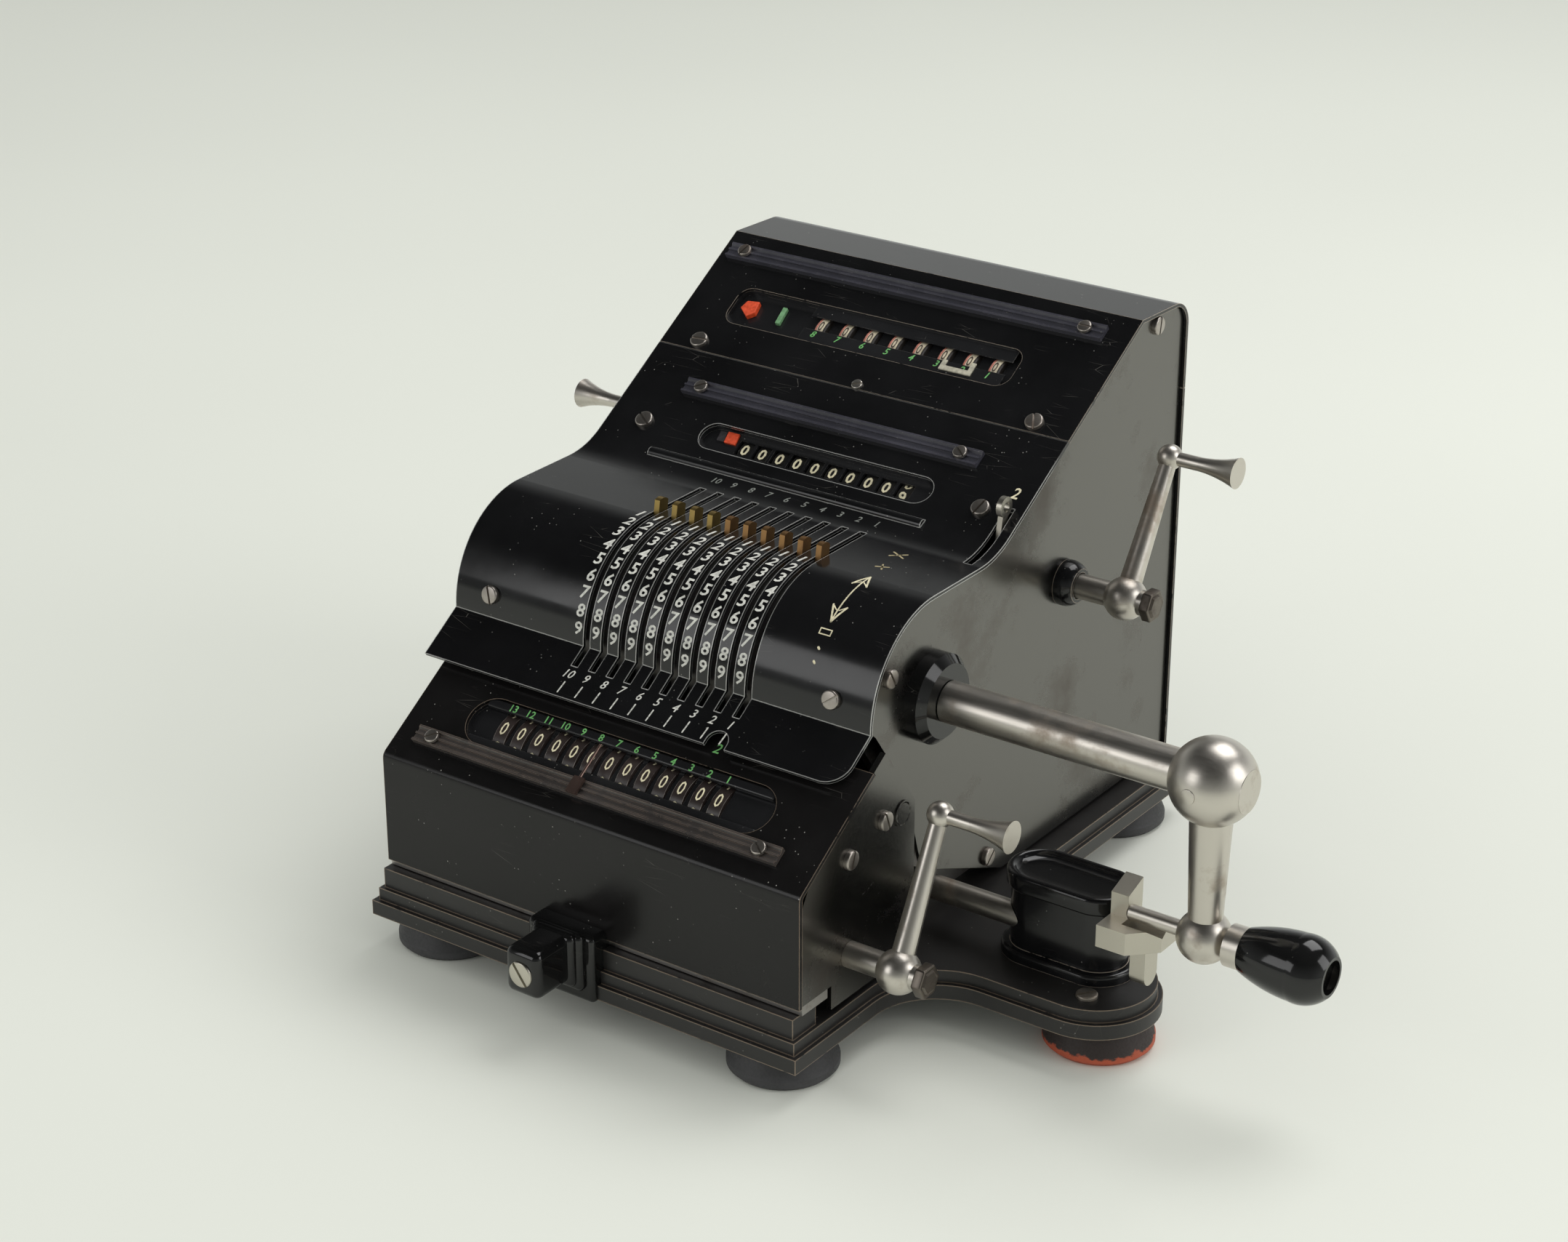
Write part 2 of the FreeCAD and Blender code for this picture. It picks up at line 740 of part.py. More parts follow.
def build_feet():
    """Round rubber feet, waisted below their top."""

    def foot(name, x, y):
        """One foot, turned."""
        outline = [
            (0, 0),
            (0, d.foot_radius - d.foot_edge_round),
            (d.foot_edge_round, d.foot_radius),
            (d.foot_rim_height, d.foot_radius),
            (d.foot_height, d.foot_waist_radius),
            (d.foot_height, 0),
        ]
        return turned(name, outline, x, y, turn=FreeCAD.Rotation(V(0, 1, 0), -90))

    four = []
    for side, x in (("right", "right_feet_x"), ("left", "left_feet_x")):
        four.append(foot(f"{side}_front_foot", x, "-1 * feet_half_depth"))
        four.append(foot(f"{side}_rear_foot", x, "feet_half_depth"))
    piece("rubber_feet", group("rubber_feet", four))
    piece("lobe_foot", foot("lobe_foot", "lobe_foot_x", "lobe_foot_y"))


def build_pedestal():
    """The oval rest beside the machine, its stay rod and the crank's catch."""
    foot_z = "foot_height + slab_step + upper_step"

    def oval(name, inset, rise, z):
        """The rest's oval outline, drawn in by an inset and raised."""
        left = d.pedestal_left_x + inset
        right = d.pedestal_right_x - inset
        points = capsule(left, right, d.pedestal_foot_radius - inset, d.pedestal_y)
        return padded(name, "XY_Plane", points, rise, z=z)

    waist = d.pedestal_waist_inset
    full_rise = f"pedestal_top_z - ({foot_z})"
    flange = oval("pedestal_foot", 0, "pedestal_foot_rise", foot_z)
    column = oval("pedestal_column", waist, full_rise, foot_z)
    rim = oval(
        "pedestal_rim", d.pedestal_rim_inset, "pedestal_rim_height", "pedestal_top_z - pedestal_rim_height",
    )
    dish = oval(
        "pedestal_dish", d.pedestal_dish_inset, "pedestal_dish_depth",
        "pedestal_top_z - pedestal_dish_depth",
    )
    solid = fuse("pedestal_solid", [flange, column, rim])
    piece("crank_rest_pedestal", cut("crank_rest_pedestal", solid, [dish]))
    rod = cylinder(
        "pedestal_rod_blank", "stay_rod_radius", "pedestal_left_x + pedestal_foot_radius - frame_half_width",
        "frame_half_width", "stay_rod_y", "stay_rod_z", ALONG_X,
    )
    rod_seat = oval("pedestal_rod_seat", waist, full_rise, foot_z)
    piece("pedestal_rod", cut("pedestal_rod", rod, [rod_seat]))
    build_catch(oval("catch_seat", d.pedestal_rim_inset, full_rise, foot_z))


def build_catch(seat):
    """The nickel catch: a chamfered, grooved block under the crank's pin, a guard and a tongue."""
    pin_bottom = d.drum_z - d.crank_throw - d.locating_pin_radius
    block_top = pin_bottom - d.side_gap
    root_x = d.pedestal_right_x - d.pedestal_waist_inset
    guard_end_x = d.pedestal_right_x + d.catch_plate_width
    end_x = guard_end_x + d.catch_saddle_width
    front_y = d.drum_y - d.catch_breadth / 2
    back_y = d.drum_y + d.catch_breadth / 2
    block_outline = [
        (root_x, front_y),
        (end_x - d.catch_chamfer, front_y),
        (end_x, front_y + d.catch_chamfer),
        (end_x, back_y),
        (root_x, back_y),
    ]
    block = padded("catch_block", "XY_Plane", block_outline, block_top - d.catch_foot_z, z="catch_foot_z")
    guard_outline = [
        (d.drum_y, d.catch_foot_z),
        (back_y, d.catch_foot_z),
        (back_y, d.catch_top_z),
        (d.drum_y, d.catch_top_z - d.catch_top_fall),
    ]
    guard = padded("catch_guard", "YZ_Plane", guard_outline, guard_end_x - root_x, root_x)
    tongue_x = end_x - d.catch_tongue_inset - d.catch_tongue_width
    half = d.catch_tongue_breadth / 2
    foot = d.catch_foot_z - d.catch_tongue_drop
    tongue_outline = [
        (d.drum_y + half, foot),
        (d.drum_y + half, d.catch_foot_z),
        (d.drum_y - half, d.catch_foot_z),
        (d.drum_y - half, foot),
    ]
    tongue_outline[0] = (*tongue_outline[0], (d.drum_y, foot - half))
    tongue = padded("catch_tongue", "YZ_Plane", tongue_outline, "catch_tongue_width", tongue_x)
    groove_outline = [
        (d.drum_y - d.catch_groove_half_width, block_top),
        (d.drum_y, block_top - d.catch_groove_depth),
        (d.drum_y + d.catch_groove_half_width, block_top),
    ]
    groove = padded("catch_groove", "YZ_Plane", groove_outline, "catch_saddle_width", guard_end_x)
    whole = fuse("catch_whole", [block, guard, tongue])
    piece("crank_catch", cut("crank_catch", whole, [seat, groove]))


def ball_outline(radius, start_radius, end_radius):
    """The part of a ball's half outline between two coaxial cylinders, centred on zero."""
    start = -math.sqrt(radius ** 2 - start_radius ** 2)
    end = math.sqrt(radius ** 2 - end_radius ** 2)
    return [(start, start_radius), (end, end_radius, (0, radius))]


def clearing_crank(name, side, shaft_y, shaft_z, tip_y, tip_z, ball_x, handle_x, inner_x):
    """A nickel crank: its shaft, ball, tapered arm and trumpet handle, forged in one."""
    y0 = getattr(d, shaft_y)
    z0 = getattr(d, shaft_z)
    y1 = getattr(d, tip_y)
    z1 = getattr(d, tip_z)
    arm_turn = FreeCAD.Rotation(V(0, 0, 1), V(0, y1 - y0, z1 - z0))
    sign = "" if side > 0 else "-1 * "
    turn = FreeCAD.Rotation() if side > 0 else FreeCAD.Rotation(V(0, 0, 1), 180)
    rod = d.clear_shaft_radius
    ball = d.clear_ball_radius
    boss_end = ball + d.clear_hub_length / 2
    hub_outline = [(inner_x - getattr(d, ball_x), 0), (inner_x - getattr(d, ball_x), rod)]
    hub_outline += ball_outline(ball, rod, rod)
    hub_outline += [(boss_end, rod), (boss_end, 0)]
    hub = turned(f"{name}_hub", hub_outline, f"{sign}{ball_x}", shaft_y, shaft_z, turn)
    arm = doc.addObject("Part::Cone", f"{name}_arm")
    bind(arm, "Radius1", "clear_arm_root_radius")
    bind(arm, "Radius2", "clear_arm_tip_radius")
    arm.Height = math.hypot(y1 - y0, z1 - z0)
    locate(arm, f"{sign}{ball_x}", shaft_y, shaft_z, arm_turn)
    length = getattr(d, handle_x) - getattr(d, ball_x)
    neck = d.clear_handle_neck_radius
    end = d.clear_handle_end_radius
    tip = d.clear_tip_ball_radius
    neck_end = length * d.clear_neck_share
    flare = ((neck_end + length) / 2, neck + (end - neck) * d.clear_flare_share)
    outline = [(-tip, 0), (math.sqrt(tip ** 2 - neck ** 2), neck, (0, tip))]
    outline += [(neck_end, neck), (length, end, flare), (length, 0)]
    handle = turned(f"{name}_handle", outline, f"{sign}{ball_x}", tip_y, tip_z, turn)
    return fuse(name, [hub, arm, handle])


def side_outline(foot):
    """The covers' inside outline, closed along the given front and foot points."""
    fall = d.cover_gauge + d.side_gap
    front_radius = d.cover_arc_radius - fall
    bend_radius = d.slope_bend_radius + fall
    rear_radius = d.rear_bend_radius - fall
    back_y = d.rear_face_y - fall
    return [
        (back_y, foot[-1][1]),
        (back_y, rear_bend_centre[1]),
        (rear_bend_centre[0], rear_top_z - fall, arc_middle(rear_bend_centre, rear_radius, 45)),
        (d.crest_y + fall * math.tan(math.radians(d.slope_angle / 2)), crest_z - fall),
        arc_middle(bend_centre, bend_radius, d.slope_angle - 90),
        (bend_centre[0], flat_z - fall, arc_middle(bend_centre, bend_radius, d.slope_angle / 2 - 90)),
        (d.drum_y, flat_z - fall),
        (d.drum_y - front_radius, d.drum_z, arc_middle(drum_centre, front_radius, 135)),
        (d.end_plate_peak_y + d.frame_knee_gap, d.drum_z - d.frame_knee_drop),
        (d.frame_front_y, d.frame_shoulder_z),
    ] + foot


DIAL_AXIS = on_slope(d.dial_line_y, d.dial_depth + d.dial_radius)
COUNTER_AXIS = on_slope(d.counter_line_y, d.counter_depth + d.counter_wheel_radius)
PANEL_FACE = "(cover_half_width - panel_inset)"


def build_frame():
    """Two steel plates that carry every shaft, and the tie rods that space them."""
    step_top = d.foot_height + d.slab_step + d.upper_step
    running = d.clear_shaft_radius + d.bearing_gap
    shaft_hole = (d.drum_y, d.drum_z, d.shaft_radius + d.bearing_gap)
    tie_spots = (("low", "low_tie_y", "low_tie_z"), ("high", "high_tie_y", "high_tie_z"),
                 ("rear", "rear_tie_y", "rear_tie_z"))
    holes = [shaft_hole]
    holes += [(getattr(d, y), getattr(d, z), d.tie_rod_radius) for _, y, z in tie_spots]
    holes += [(y, z, d.register_axle_radius) for y, z in (DIAL_AXIS, COUNTER_AXIS)]
    outline = side_outline([(d.frame_front_y, step_top)])
    right = padded(
        "right_frame", "YZ_Plane", outline, "frame_gauge", "frame_half_width - frame_gauge",
        holes=holes + [(d.counter_clear_y, d.counter_clear_z, running)],
    )
    left = padded(
        "left_frame", "YZ_Plane", outline, "frame_gauge", "-1 * frame_half_width",
        holes=holes + [(d.setting_clear_y, d.setting_clear_z, running)],
    )
    stud = cylinder(
        "selector_stud", "selector_pivot_radius", "selector_x + selector_gauge - frame_half_width",
        "frame_half_width", "selector_pivot_y", "selector_pivot_z", ALONG_X,
    )
    piece("frame_plates", group("frame_plates", [fuse("right_frame_studded", [right, stud]), left]))
    panel_inner = f"({PANEL_FACE} - panel_gauge)"
    rods = []
    for name, y, z in tie_spots:
        rods.append(cylinder(
            f"{name}_tie_rod", "tie_rod_radius", f"2 * {panel_inner}", f"-1 * {panel_inner}", y, z, ALONG_X,
        ))
    for name, x in (("right", "frame_half_width"), ("left", f"-1 * {panel_inner}")):
        rods.append(cylinder(
            f"{name}_front_stud", "tie_rod_radius", f"{panel_inner} - frame_half_width", x,
            "front_stud_y", "front_stud_z", ALONG_X,
        ))
    piece("tie_rods", group("tie_rods", rods))


def build_panels():
    """Thin side panels with domed collars, and the crank shaft's black bearing boss."""
    foot = [(d.panel_front_y, d.panel_front_z), (d.panel_foot_y, d.rear_foot_z)]
    outline = side_outline(foot)
    running = d.clear_shaft_radius + d.side_gap
    shaft_hole = (d.drum_y, d.drum_z, d.shaft_radius + d.side_gap)
    left_shaft = (d.setting_clear_y, d.setting_clear_z, running)
    right_shaft = (d.counter_clear_y, d.counter_clear_z, running)
    right = padded(
        "right_panel", "YZ_Plane", outline, "panel_gauge", f"{PANEL_FACE} - panel_gauge",
        holes=[shaft_hole, right_shaft],
    )
    left = padded("left_panel", "YZ_Plane", outline, "panel_gauge", f"-1 * {PANEL_FACE}", holes=[left_shaft])
    rim = running + d.shaft_boss_wall
    swell = math.sqrt(0.5)
    crown = (d.shaft_boss_length * swell, rim + (d.shaft_boss_radius - rim) * swell)
    dome = [
        (0, running),
        (0, d.shaft_boss_radius),
        (d.shaft_boss_length, rim, crown),
        (d.shaft_boss_length, running),
    ]
    right_boss = turned("right_shaft_boss", dome, PANEL_FACE, "counter_clear_y", "counter_clear_z")
    left_boss = turned(
        "left_shaft_boss", dome, f"-1 * {PANEL_FACE}", "setting_clear_y", "setting_clear_z",
        FreeCAD.Rotation(V(0, 0, 1), 180),
    )
    sides = [fuse("right_side", [right, right_boss]), fuse("left_side", [left, left_boss])]
    piece("side_panels", group("side_panels", sides))
    bore = d.shaft_radius + d.bearing_gap
    ring = [
        (0, bore),
        (0, d.boss_radius),
        (d.boss_length - d.boss_bevel, d.boss_radius),
        (d.boss_length, d.boss_radius - d.boss_bevel),
        (d.boss_length, bore),
    ]
    piece("crank_bearing_boss", turned("crank_bearing_boss", ring, PANEL_FACE, "drum_y", "drum_z"))


def lip_cutters(reach):
    """What rounds the lip's right corner, and the notch that shows a place number below it."""
    lip_slope = math.degrees(math.atan2(d.drum_z - d.lip_front_z, crease_y - d.lip_front_y))
    lean = FreeCAD.Rotation(V(1, 0, 0), lip_slope)
    edge_spot = (d.lip_front_y, d.lip_front_z, lean)
    radius = d.lip_corner_radius
    past = d.cover_gauge
    edge = d.cover_half_width
    inner = edge - radius
    corner = [
        (inner, -past),
        (edge + past, -past),
        (edge + past, radius),
        (edge, radius),
        (inner, 0, (inner + radius * math.sqrt(0.5), radius - radius * math.sqrt(0.5))),
    ]
    cutters = [inward_block("lip_corner", corner, -reach, reach, *edge_spot)]
    left = d.lip_notch_x - d.lip_notch_half_width
    right = d.lip_notch_x + d.lip_notch_half_width
    shoulder = d.lip_notch_depth - d.lip_notch_half_width
    notch = [
        (left, -past),
        (right, -past),
        (right, shoulder),
        (left, shoulder, (d.lip_notch_x, d.lip_notch_depth)),
    ]
    cutters.append(inward_block("lip_notch", notch, -reach, reach, *edge_spot))
    return cutters


def build_covers():
    """The slotted front cover with its drum-shaped hump, the upper cover and the rear cover."""
    half = "cover_half_width"
    front = bent_sheet("front_sheet", front_path, "cover_gauge", f"-1 * {half}", f"2 * {half}")
    bead_z = slope_z(d.bead_y) - d.bead_sink
    bead = cylinder(
        "bead", "bead_radius", "bead_right_x - bead_left_x", "bead_left_x", "bead_y", bead_z, ALONG_X,
    )
    beaded = fuse("front_sheet_beaded", [front, bead])
    tools = []
    for column in range(int(d.setting_columns)):
        tools.append(box(
            f"lever_slot_{column + 1}", "slot_width", "slot_back_y - slot_front_y",
            "cover_arc_radius + drum_z", f"{column_x(column)} - slot_width / 2", "slot_front_y",
            "lip_front_z",
        ))
    tools.append(box(
        "selector_slot", "selector_slot_width", "selector_slot_back_y - selector_slot_front_y",
        "drum_z", "selector_x + selector_gauge / 2 - selector_slot_width / 2", "selector_slot_front_y",
        "drum_z",
    ))
    window = tablet(
        d.setting_window_left_x, d.setting_window_right_x, d.setting_window_breadth,
        d.setting_window_breadth / 2,
    )
    window_z = slope_z(d.dial_line_y)
    reach = 2 * d.cover_gauge
    tools.append(inward_block("setting_window", window, -reach, reach, d.dial_line_y, window_z, LEAN))
    tools += lip_cutters(reach)
    piece("front_cover", cut("front_cover", beaded, tools))
    upper = bent_sheet("upper_sheet", upper_path, "cover_gauge", f"-1 * {half}", f"2 * {half}")
    counter_window = tablet(
        d.counter_window_left_x, d.counter_window_right_x, d.counter_window_breadth,
        d.counter_window_corner,
    )
    counter_z = slope_z(d.counter_line_y)
    opening = inward_block("counter_window", counter_window, -reach, reach, d.counter_line_y, counter_z, LEAN)
    piece("upper_cover", cut("upper_cover", upper, [opening]))
    piece("rear_cover", box(
        "rear_cover", f"2 * {half}", "cover_gauge", "rear_seam_z - seam_gap - rear_foot_z", f"-1 * {half}",
        "rear_face_y - cover_gauge", "rear_foot_z",
    ))


def wheel_chord(radius, shown_depth, floor_depth):
    """Half the length of the opening that a wheel needs in a tray's floor."""
    sunk = radius + shown_depth - floor_depth - d.pan_floor_gauge
    return math.sqrt(radius ** 2 - sunk ** 2) + d.side_gap


def build_registers():
    """Trays behind both cover windows, the axles, the setting dials and the counter's wheels."""
    setting_x = [d.first_column_x - k * d.column_pitch for k in range(int(d.setting_columns))]
    window = (
        d.setting_window_left_x, d.setting_window_right_x, d.setting_window_breadth,
        d.setting_window_breadth / 2,
    )
    chord = wheel_chord(d.dial_radius, d.dial_depth, d.pan_floor_depth)
    piece("setting_window_pan", window_pan(
        "setting_window_pan", window, (setting_x, d.dial_width, chord), d.cover_gauge, d.pan_floor_depth,
        d.dial_line_y, slope_z(d.dial_line_y), LEAN,
    ))
    counter_x = [d.counter_first_x - k * d.counter_pitch for k in range(int(d.counter_columns))]
    counter_window = (
        d.counter_window_left_x, d.counter_window_right_x, d.counter_window_breadth,
        d.counter_window_corner,
    )
    chord = wheel_chord(d.counter_wheel_radius, d.counter_depth, d.pan_floor_depth)
    piece("counter_window_pan", window_pan(
        "counter_window_pan", counter_window, (counter_x, d.counter_wheel_width, chord), d.cover_gauge,
        d.pan_floor_depth, d.counter_line_y, slope_z(d.counter_line_y), LEAN,
    ))
    axles = []
    for name, axis in (("dial_axle", DIAL_AXIS), ("counter_axle", COUNTER_AXIS)):
        axles.append(cylinder(
            name, "register_axle_radius", "2 * frame_half_width", "-1 * frame_half_width", *axis, ALONG_X,
        ))
    piece("register_axles", group("register_axles", axles))
    bore = d.register_axle_radius + d.bearing_gap

    def drum(name, radius, width, x, axis, bevel):
        """One number wheel, bored and bevelled."""
        outline = [
            (0, bore),
            (0, radius - bevel),
            (bevel, radius),
            (width - bevel, radius),
            (width, radius - bevel),
            (width, bore),
        ]
        return turned(name, outline, x, *axis)

    for column in range(int(d.setting_columns)):
        name = f"setting_dial_{column + 1}"
        piece(name, drum(
            name, d.dial_radius, d.dial_width, f"{column_x(column)} - dial_width / 2", DIAL_AXIS,
            d.wheel_bevel,
        ))
    wheels = []
    for column in range(int(d.counter_columns)):
        x = f"counter_first_x - {column} * counter_pitch - counter_wheel_width / 2"
        name = f"counter_wheel_{column + 1}"
        wheels.append(drum(
            name, d.counter_wheel_radius, d.counter_wheel_width, x, COUNTER_AXIS, d.wheel_bevel,
        ))
    piece("counter_wheels", group("counter_wheels", wheels))


def ribbed_strip(name, left, right, y, z, lean):
    """A decimal rail: a strip with two long grooves, laid on a sloping face."""
    body, sketch = body_on(name, "YZ_Plane")
    half = d.rail_strip_breadth / 2
    top = d.rail_strip_height
    low = top - d.rail_strip_groove
    crown = half * d.rail_rib_share
    draw(sketch, [
        (-half, 0),
        (half, 0),
        (half, top),
        (half - crown, top),
        (half - 2 * crown, low),
        (crown / 2, low),
        (crown / 2, top),
        (-crown / 2, top),
        (-crown / 2, low),
        (2 * crown - half, low),
        (crown - half, top),
        (-half, top),
    ])
    pad = body.newObject("PartDesign::Pad", f"{name}_pad")
    pad.Profile = sketch
    bind(pad, "Length", f"{right} - {left}")
    body.Placement = FreeCAD.Placement(V(0, y, z), lean)
    bind(body, "Placement.Base.x", left)
    return body


def screw_head(name, radius, height, x, y, z, lean):
    """A round screw head on a sloping face."""
    head = doc.addObject("Part::Cylinder", name)
    bind(head, "Radius", radius)
    bind(head, "Height", height)
    head.Placement = FreeCAD.Placement(V(0, y, z), lean)
    bind(head, "Placement.Base.x", x)
    return head


def raised(y, z, height, angle):
    """A side-view point lifted off a sloping face."""
    return (y - height * math.sin(math.radians(angle)), z + height * math.cos(math.radians(angle)))


def build_cover_trim():
    """The two decimal rails on the covers, and the screws that show."""
    for name, left, right, y in (
        ("setting_decimal_rail", "setting_rail_left_x", "setting_rail_right_x", d.setting_rail_y),
        ("counter_decimal_rail", "counter_rail_left_x", "counter_rail_right_x", d.counter_rail_y),
    ):
        piece(name, ribbed_strip(name, left, right, y, slope_z(y), LEAN))
    heads = []
    for rail, y in (("setting", d.setting_rail_y), ("counter", d.counter_rail_y)):
        spot = raised(y, slope_z(y), d.rail_strip_height, d.slope_angle)
        for side, x in (
            ("left", f"{rail}_rail_left_x + rail_screw_inset"),
            ("right", f"{rail}_rail_right_x - rail_screw_inset"),
        ):
            heads.append(screw_head(
                f"{rail}_rail_{side}_screw", "rail_screw_radius", "rail_screw_height", x, *spot, LEAN,
            ))
    arc_angle = 180 - d.front_screw_angle
    front_spot = arc_middle(drum_centre, d.cover_arc_radius, arc_angle)
    front_lean = FreeCAD.Rotation(V(1, 0, 0), arc_angle - 90)
    spots = [("front", front_spot, front_lean)]
    spots.append(("middle", (d.slope_screw_y, slope_z(d.slope_screw_y)), LEAN))
    spots.append(("seam", (d.seam_screw_y, slope_z(d.seam_screw_y)), LEAN))
    for row, spot, lean in spots:
        for side, sign in (("left", "-1 * "), ("right", "")):
            heads.append(screw_head(
                f"{row}_{side}_screw", "cover_screw_radius", "cover_screw_height", f"{sign}cover_screw_x",
                spot[0], spot[1], lean,
            ))
    for row, y, z in (("low", "low_tie_y", "low_tie_z"), ("high", "high_tie_y", "high_tie_z"),
                      ("stud", "front_stud_y", "front_stud_z")):
        for side, x in (("right", PANEL_FACE), ("left", f"-1 * {PANEL_FACE} - cover_screw_height")):
            heads.append(cylinder(
                f"{row}_{side}_panel_screw", "cover_screw_radius", "cover_screw_height", x, y, z, ALONG_X,
            ))
    piece("cover_screws", group("cover_screws", heads))


def build_drum():
    """Ten pinwheels on the crank's shaft, and the setting lever that turns on each one's hub."""
    shaft = cylinder(
        "crank_shaft", "shaft_radius", "crank_cap_x - cap_wall + frame_half_width + side_gap",
        "-1 * frame_half_width - side_gap", "drum_y", "drum_z", ALONG_X,
    )
    piece("crank_shaft", shaft)
    span = (d.pins_per_disc - 1) * d.pin_spacing_angle
    disc_left = -d.gear_offset - d.pin_width / 2 - d.disc_skin
    slot_depth = d.pin_width + d.disc_skin
    disc = Part.makeCylinder(d.disc_radius, d.disc_width, V(disc_left, 0, 0), V(1, 0, 0))
    hub_length = d.column_pitch - d.disc_width - d.side_gap
    hub = Part.makeCylinder(d.disc_hub_radius, hub_length, V(disc_left + d.disc_width, 0, 0), V(1, 0, 0))
    wheel = disc.fuse(hub)
    bore = Part.makeCylinder(d.shaft_radius, 2 * d.column_pitch, V(-d.column_pitch, 0, 0), V(1, 0, 0))
    pins = []
    tools = [bore]
    for pin in range(int(d.pins_per_disc)):
        angle = pin * d.pin_spacing_angle - span / 2
        corner = V(disc_left, d.pin_seat_radius, -d.pin_breadth / 2)
        slot = Part.makeBox(slot_depth, d.disc_radius, d.pin_breadth, corner)
        length = d.disc_radius - d.pin_recess - d.pin_seat_radius
        peg = Part.makeBox(d.pin_width, length, d.pin_breadth, corner + V(d.disc_skin, 0, 0))
        for solid in (slot, peg):
            solid.rotate(V(), V(1, 0, 0), angle)
        tools.append(slot)
        pins.append(peg)
    wheel = wheel.cut(Part.makeCompound(tools))
    solids = []
    for column in range(int(d.setting_columns)):
        x = d.first_column_x - column * d.column_pitch
        for solid in [wheel] + pins:
            solids.append(solid.translated(V(x, d.drum_y, d.drum_z)))
    piece("pinwheels", shaped("pinwheels", Part.makeCompound(solids)))
    half = d.lever_breadth / 2
    ring = d.lever_ring_radius
    shoulder = math.sqrt(ring ** 2 - half ** 2)
    tip = d.lever_tip_radius
    outline = [
        (half, shoulder),
        (half, tip - d.lever_tip_round),
        (-half, tip - d.lever_tip_round, (0, tip)),
        (-half, shoulder),
        (half, shoulder, (0, -ring)),
    ]
    lean = FreeCAD.Rotation(V(1, 0, 0), -d.crank_lean_angle)
    for column in range(int(d.setting_columns)):
        name = f"setting_lever_{column + 1}"
        body = padded(
            name, "YZ_Plane", outline[1:], "lever_width", f"{column_x(column)} - lever_width / 2", "drum_y",
            "drum_z", holes=[(0, 0, d.disc_hub_radius + d.bearing_gap)], turn=lean,
        )
        piece(name, body)


def build_crank():
    """The nickel crank, the pull-out spindle with its locating pin, and the black grip."""
    bore = cylinder(
        "crank_bore", "shaft_radius", "crank_cap_x - cap_wall", "0", "drum_y", "drum_z", ALONG_X,
    )
    sleeve_start = d.cover_half_width - d.panel_inset + d.boss_length + d.side_gap - d.crank_ball_x
    cap_end = d.crank_cap_x - d.crank_ball_x
    hub_outline = [(sleeve_start, 0), (sleeve_start, d.sleeve_radius)]
    hub_outline += ball_outline(d.crank_ball_radius, d.sleeve_radius, d.crank_cap_radius)
    hub_outline += [(cap_end, d.crank_cap_radius), (cap_end, 0)]
    hub = turned("crank_hub", hub_outline, "crank_ball_x", "drum_y", "drum_z")
    arm = doc.addObject("Part::Cone", "crank_arm_taper")
    bind(arm, "Radius1", "arm_top_radius")
    bind(arm, "Radius2", "arm_foot_radius")
    bind(arm, "Height", "crank_throw")
    locate(arm, "crank_ball_x", "drum_y", "drum_z", FreeCAD.Rotation(V(1, 0, 0), 180))
    foot = sphere("crank_foot_ball", "arm_ball_radius", "crank_ball_x", "drum_y", "drum_z - crank_throw")
    whole = fuse("crank_forging", [hub, arm, foot])
    guide = cylinder(
        "crank_foot_bore", "locating_pin_radius + bearing_gap", "4 * arm_ball_radius",
        "crank_ball_x - 2 * arm_ball_radius", "drum_y", "drum_z - crank_throw", ALONG_X,
    )
    piece("crank_arm", cut("crank_arm", whole, [bore, guide]))
    pin = d.locating_pin_radius
    reach = d.locating_pin_reach
    ferrule = d.arm_ball_radius + d.side_gap
    ferrule_end = ferrule + d.ferrule_length
    grip_start = ferrule_end + d.side_gap
    spindle_end = d.grip_end_x - d.crank_ball_x - d.grip_end_hole_depth - d.side_gap
    outline = [
        (-reach, 0),
        (-reach, pin - d.pin_point),
        (d.pin_point - reach, pin),
        (ferrule, pin),
        (ferrule, d.ferrule_radius),
        (ferrule_end, d.ferrule_radius),
        (ferrule_end, d.spindle_radius),
        (spindle_end, d.spindle_radius),
        (spindle_end, 0),
    ]
    foot_z = "drum_z - crank_throw"
    piece("crank_spindle", turned("crank_spindle", outline, "crank_ball_x", "drum_y", foot_z))
    end = d.grip_end_x - d.crank_ball_x
    bulb_x = grip_start + (end - grip_start) * d.grip_bulb_share
    hole = d.spindle_radius + d.bearing_gap
    neck = d.grip_neck_radius
    bulb = d.grip_bulb_radius
    end_swell = ((bulb_x + end) / 2 + d.grip_end_wall, bulb - d.grip_swell)
    grip = [
        (grip_start, hole),
        (grip_start, neck),
        (bulb_x, bulb, ((grip_start + bulb_x) / 2, (neck + bulb) / 2 + d.grip_swell)),
        (end, d.grip_end_hole_radius + d.grip_end_wall, end_swell),
        (end, d.grip_end_hole_radius),
        (end - d.grip_end_hole_depth, d.grip_end_hole_radius),
        (end - d.grip_end_hole_depth, hole),
    ]
    piece("crank_handle", turned("crank_handle", grip, "crank_ball_x", "drum_y", foot_z))


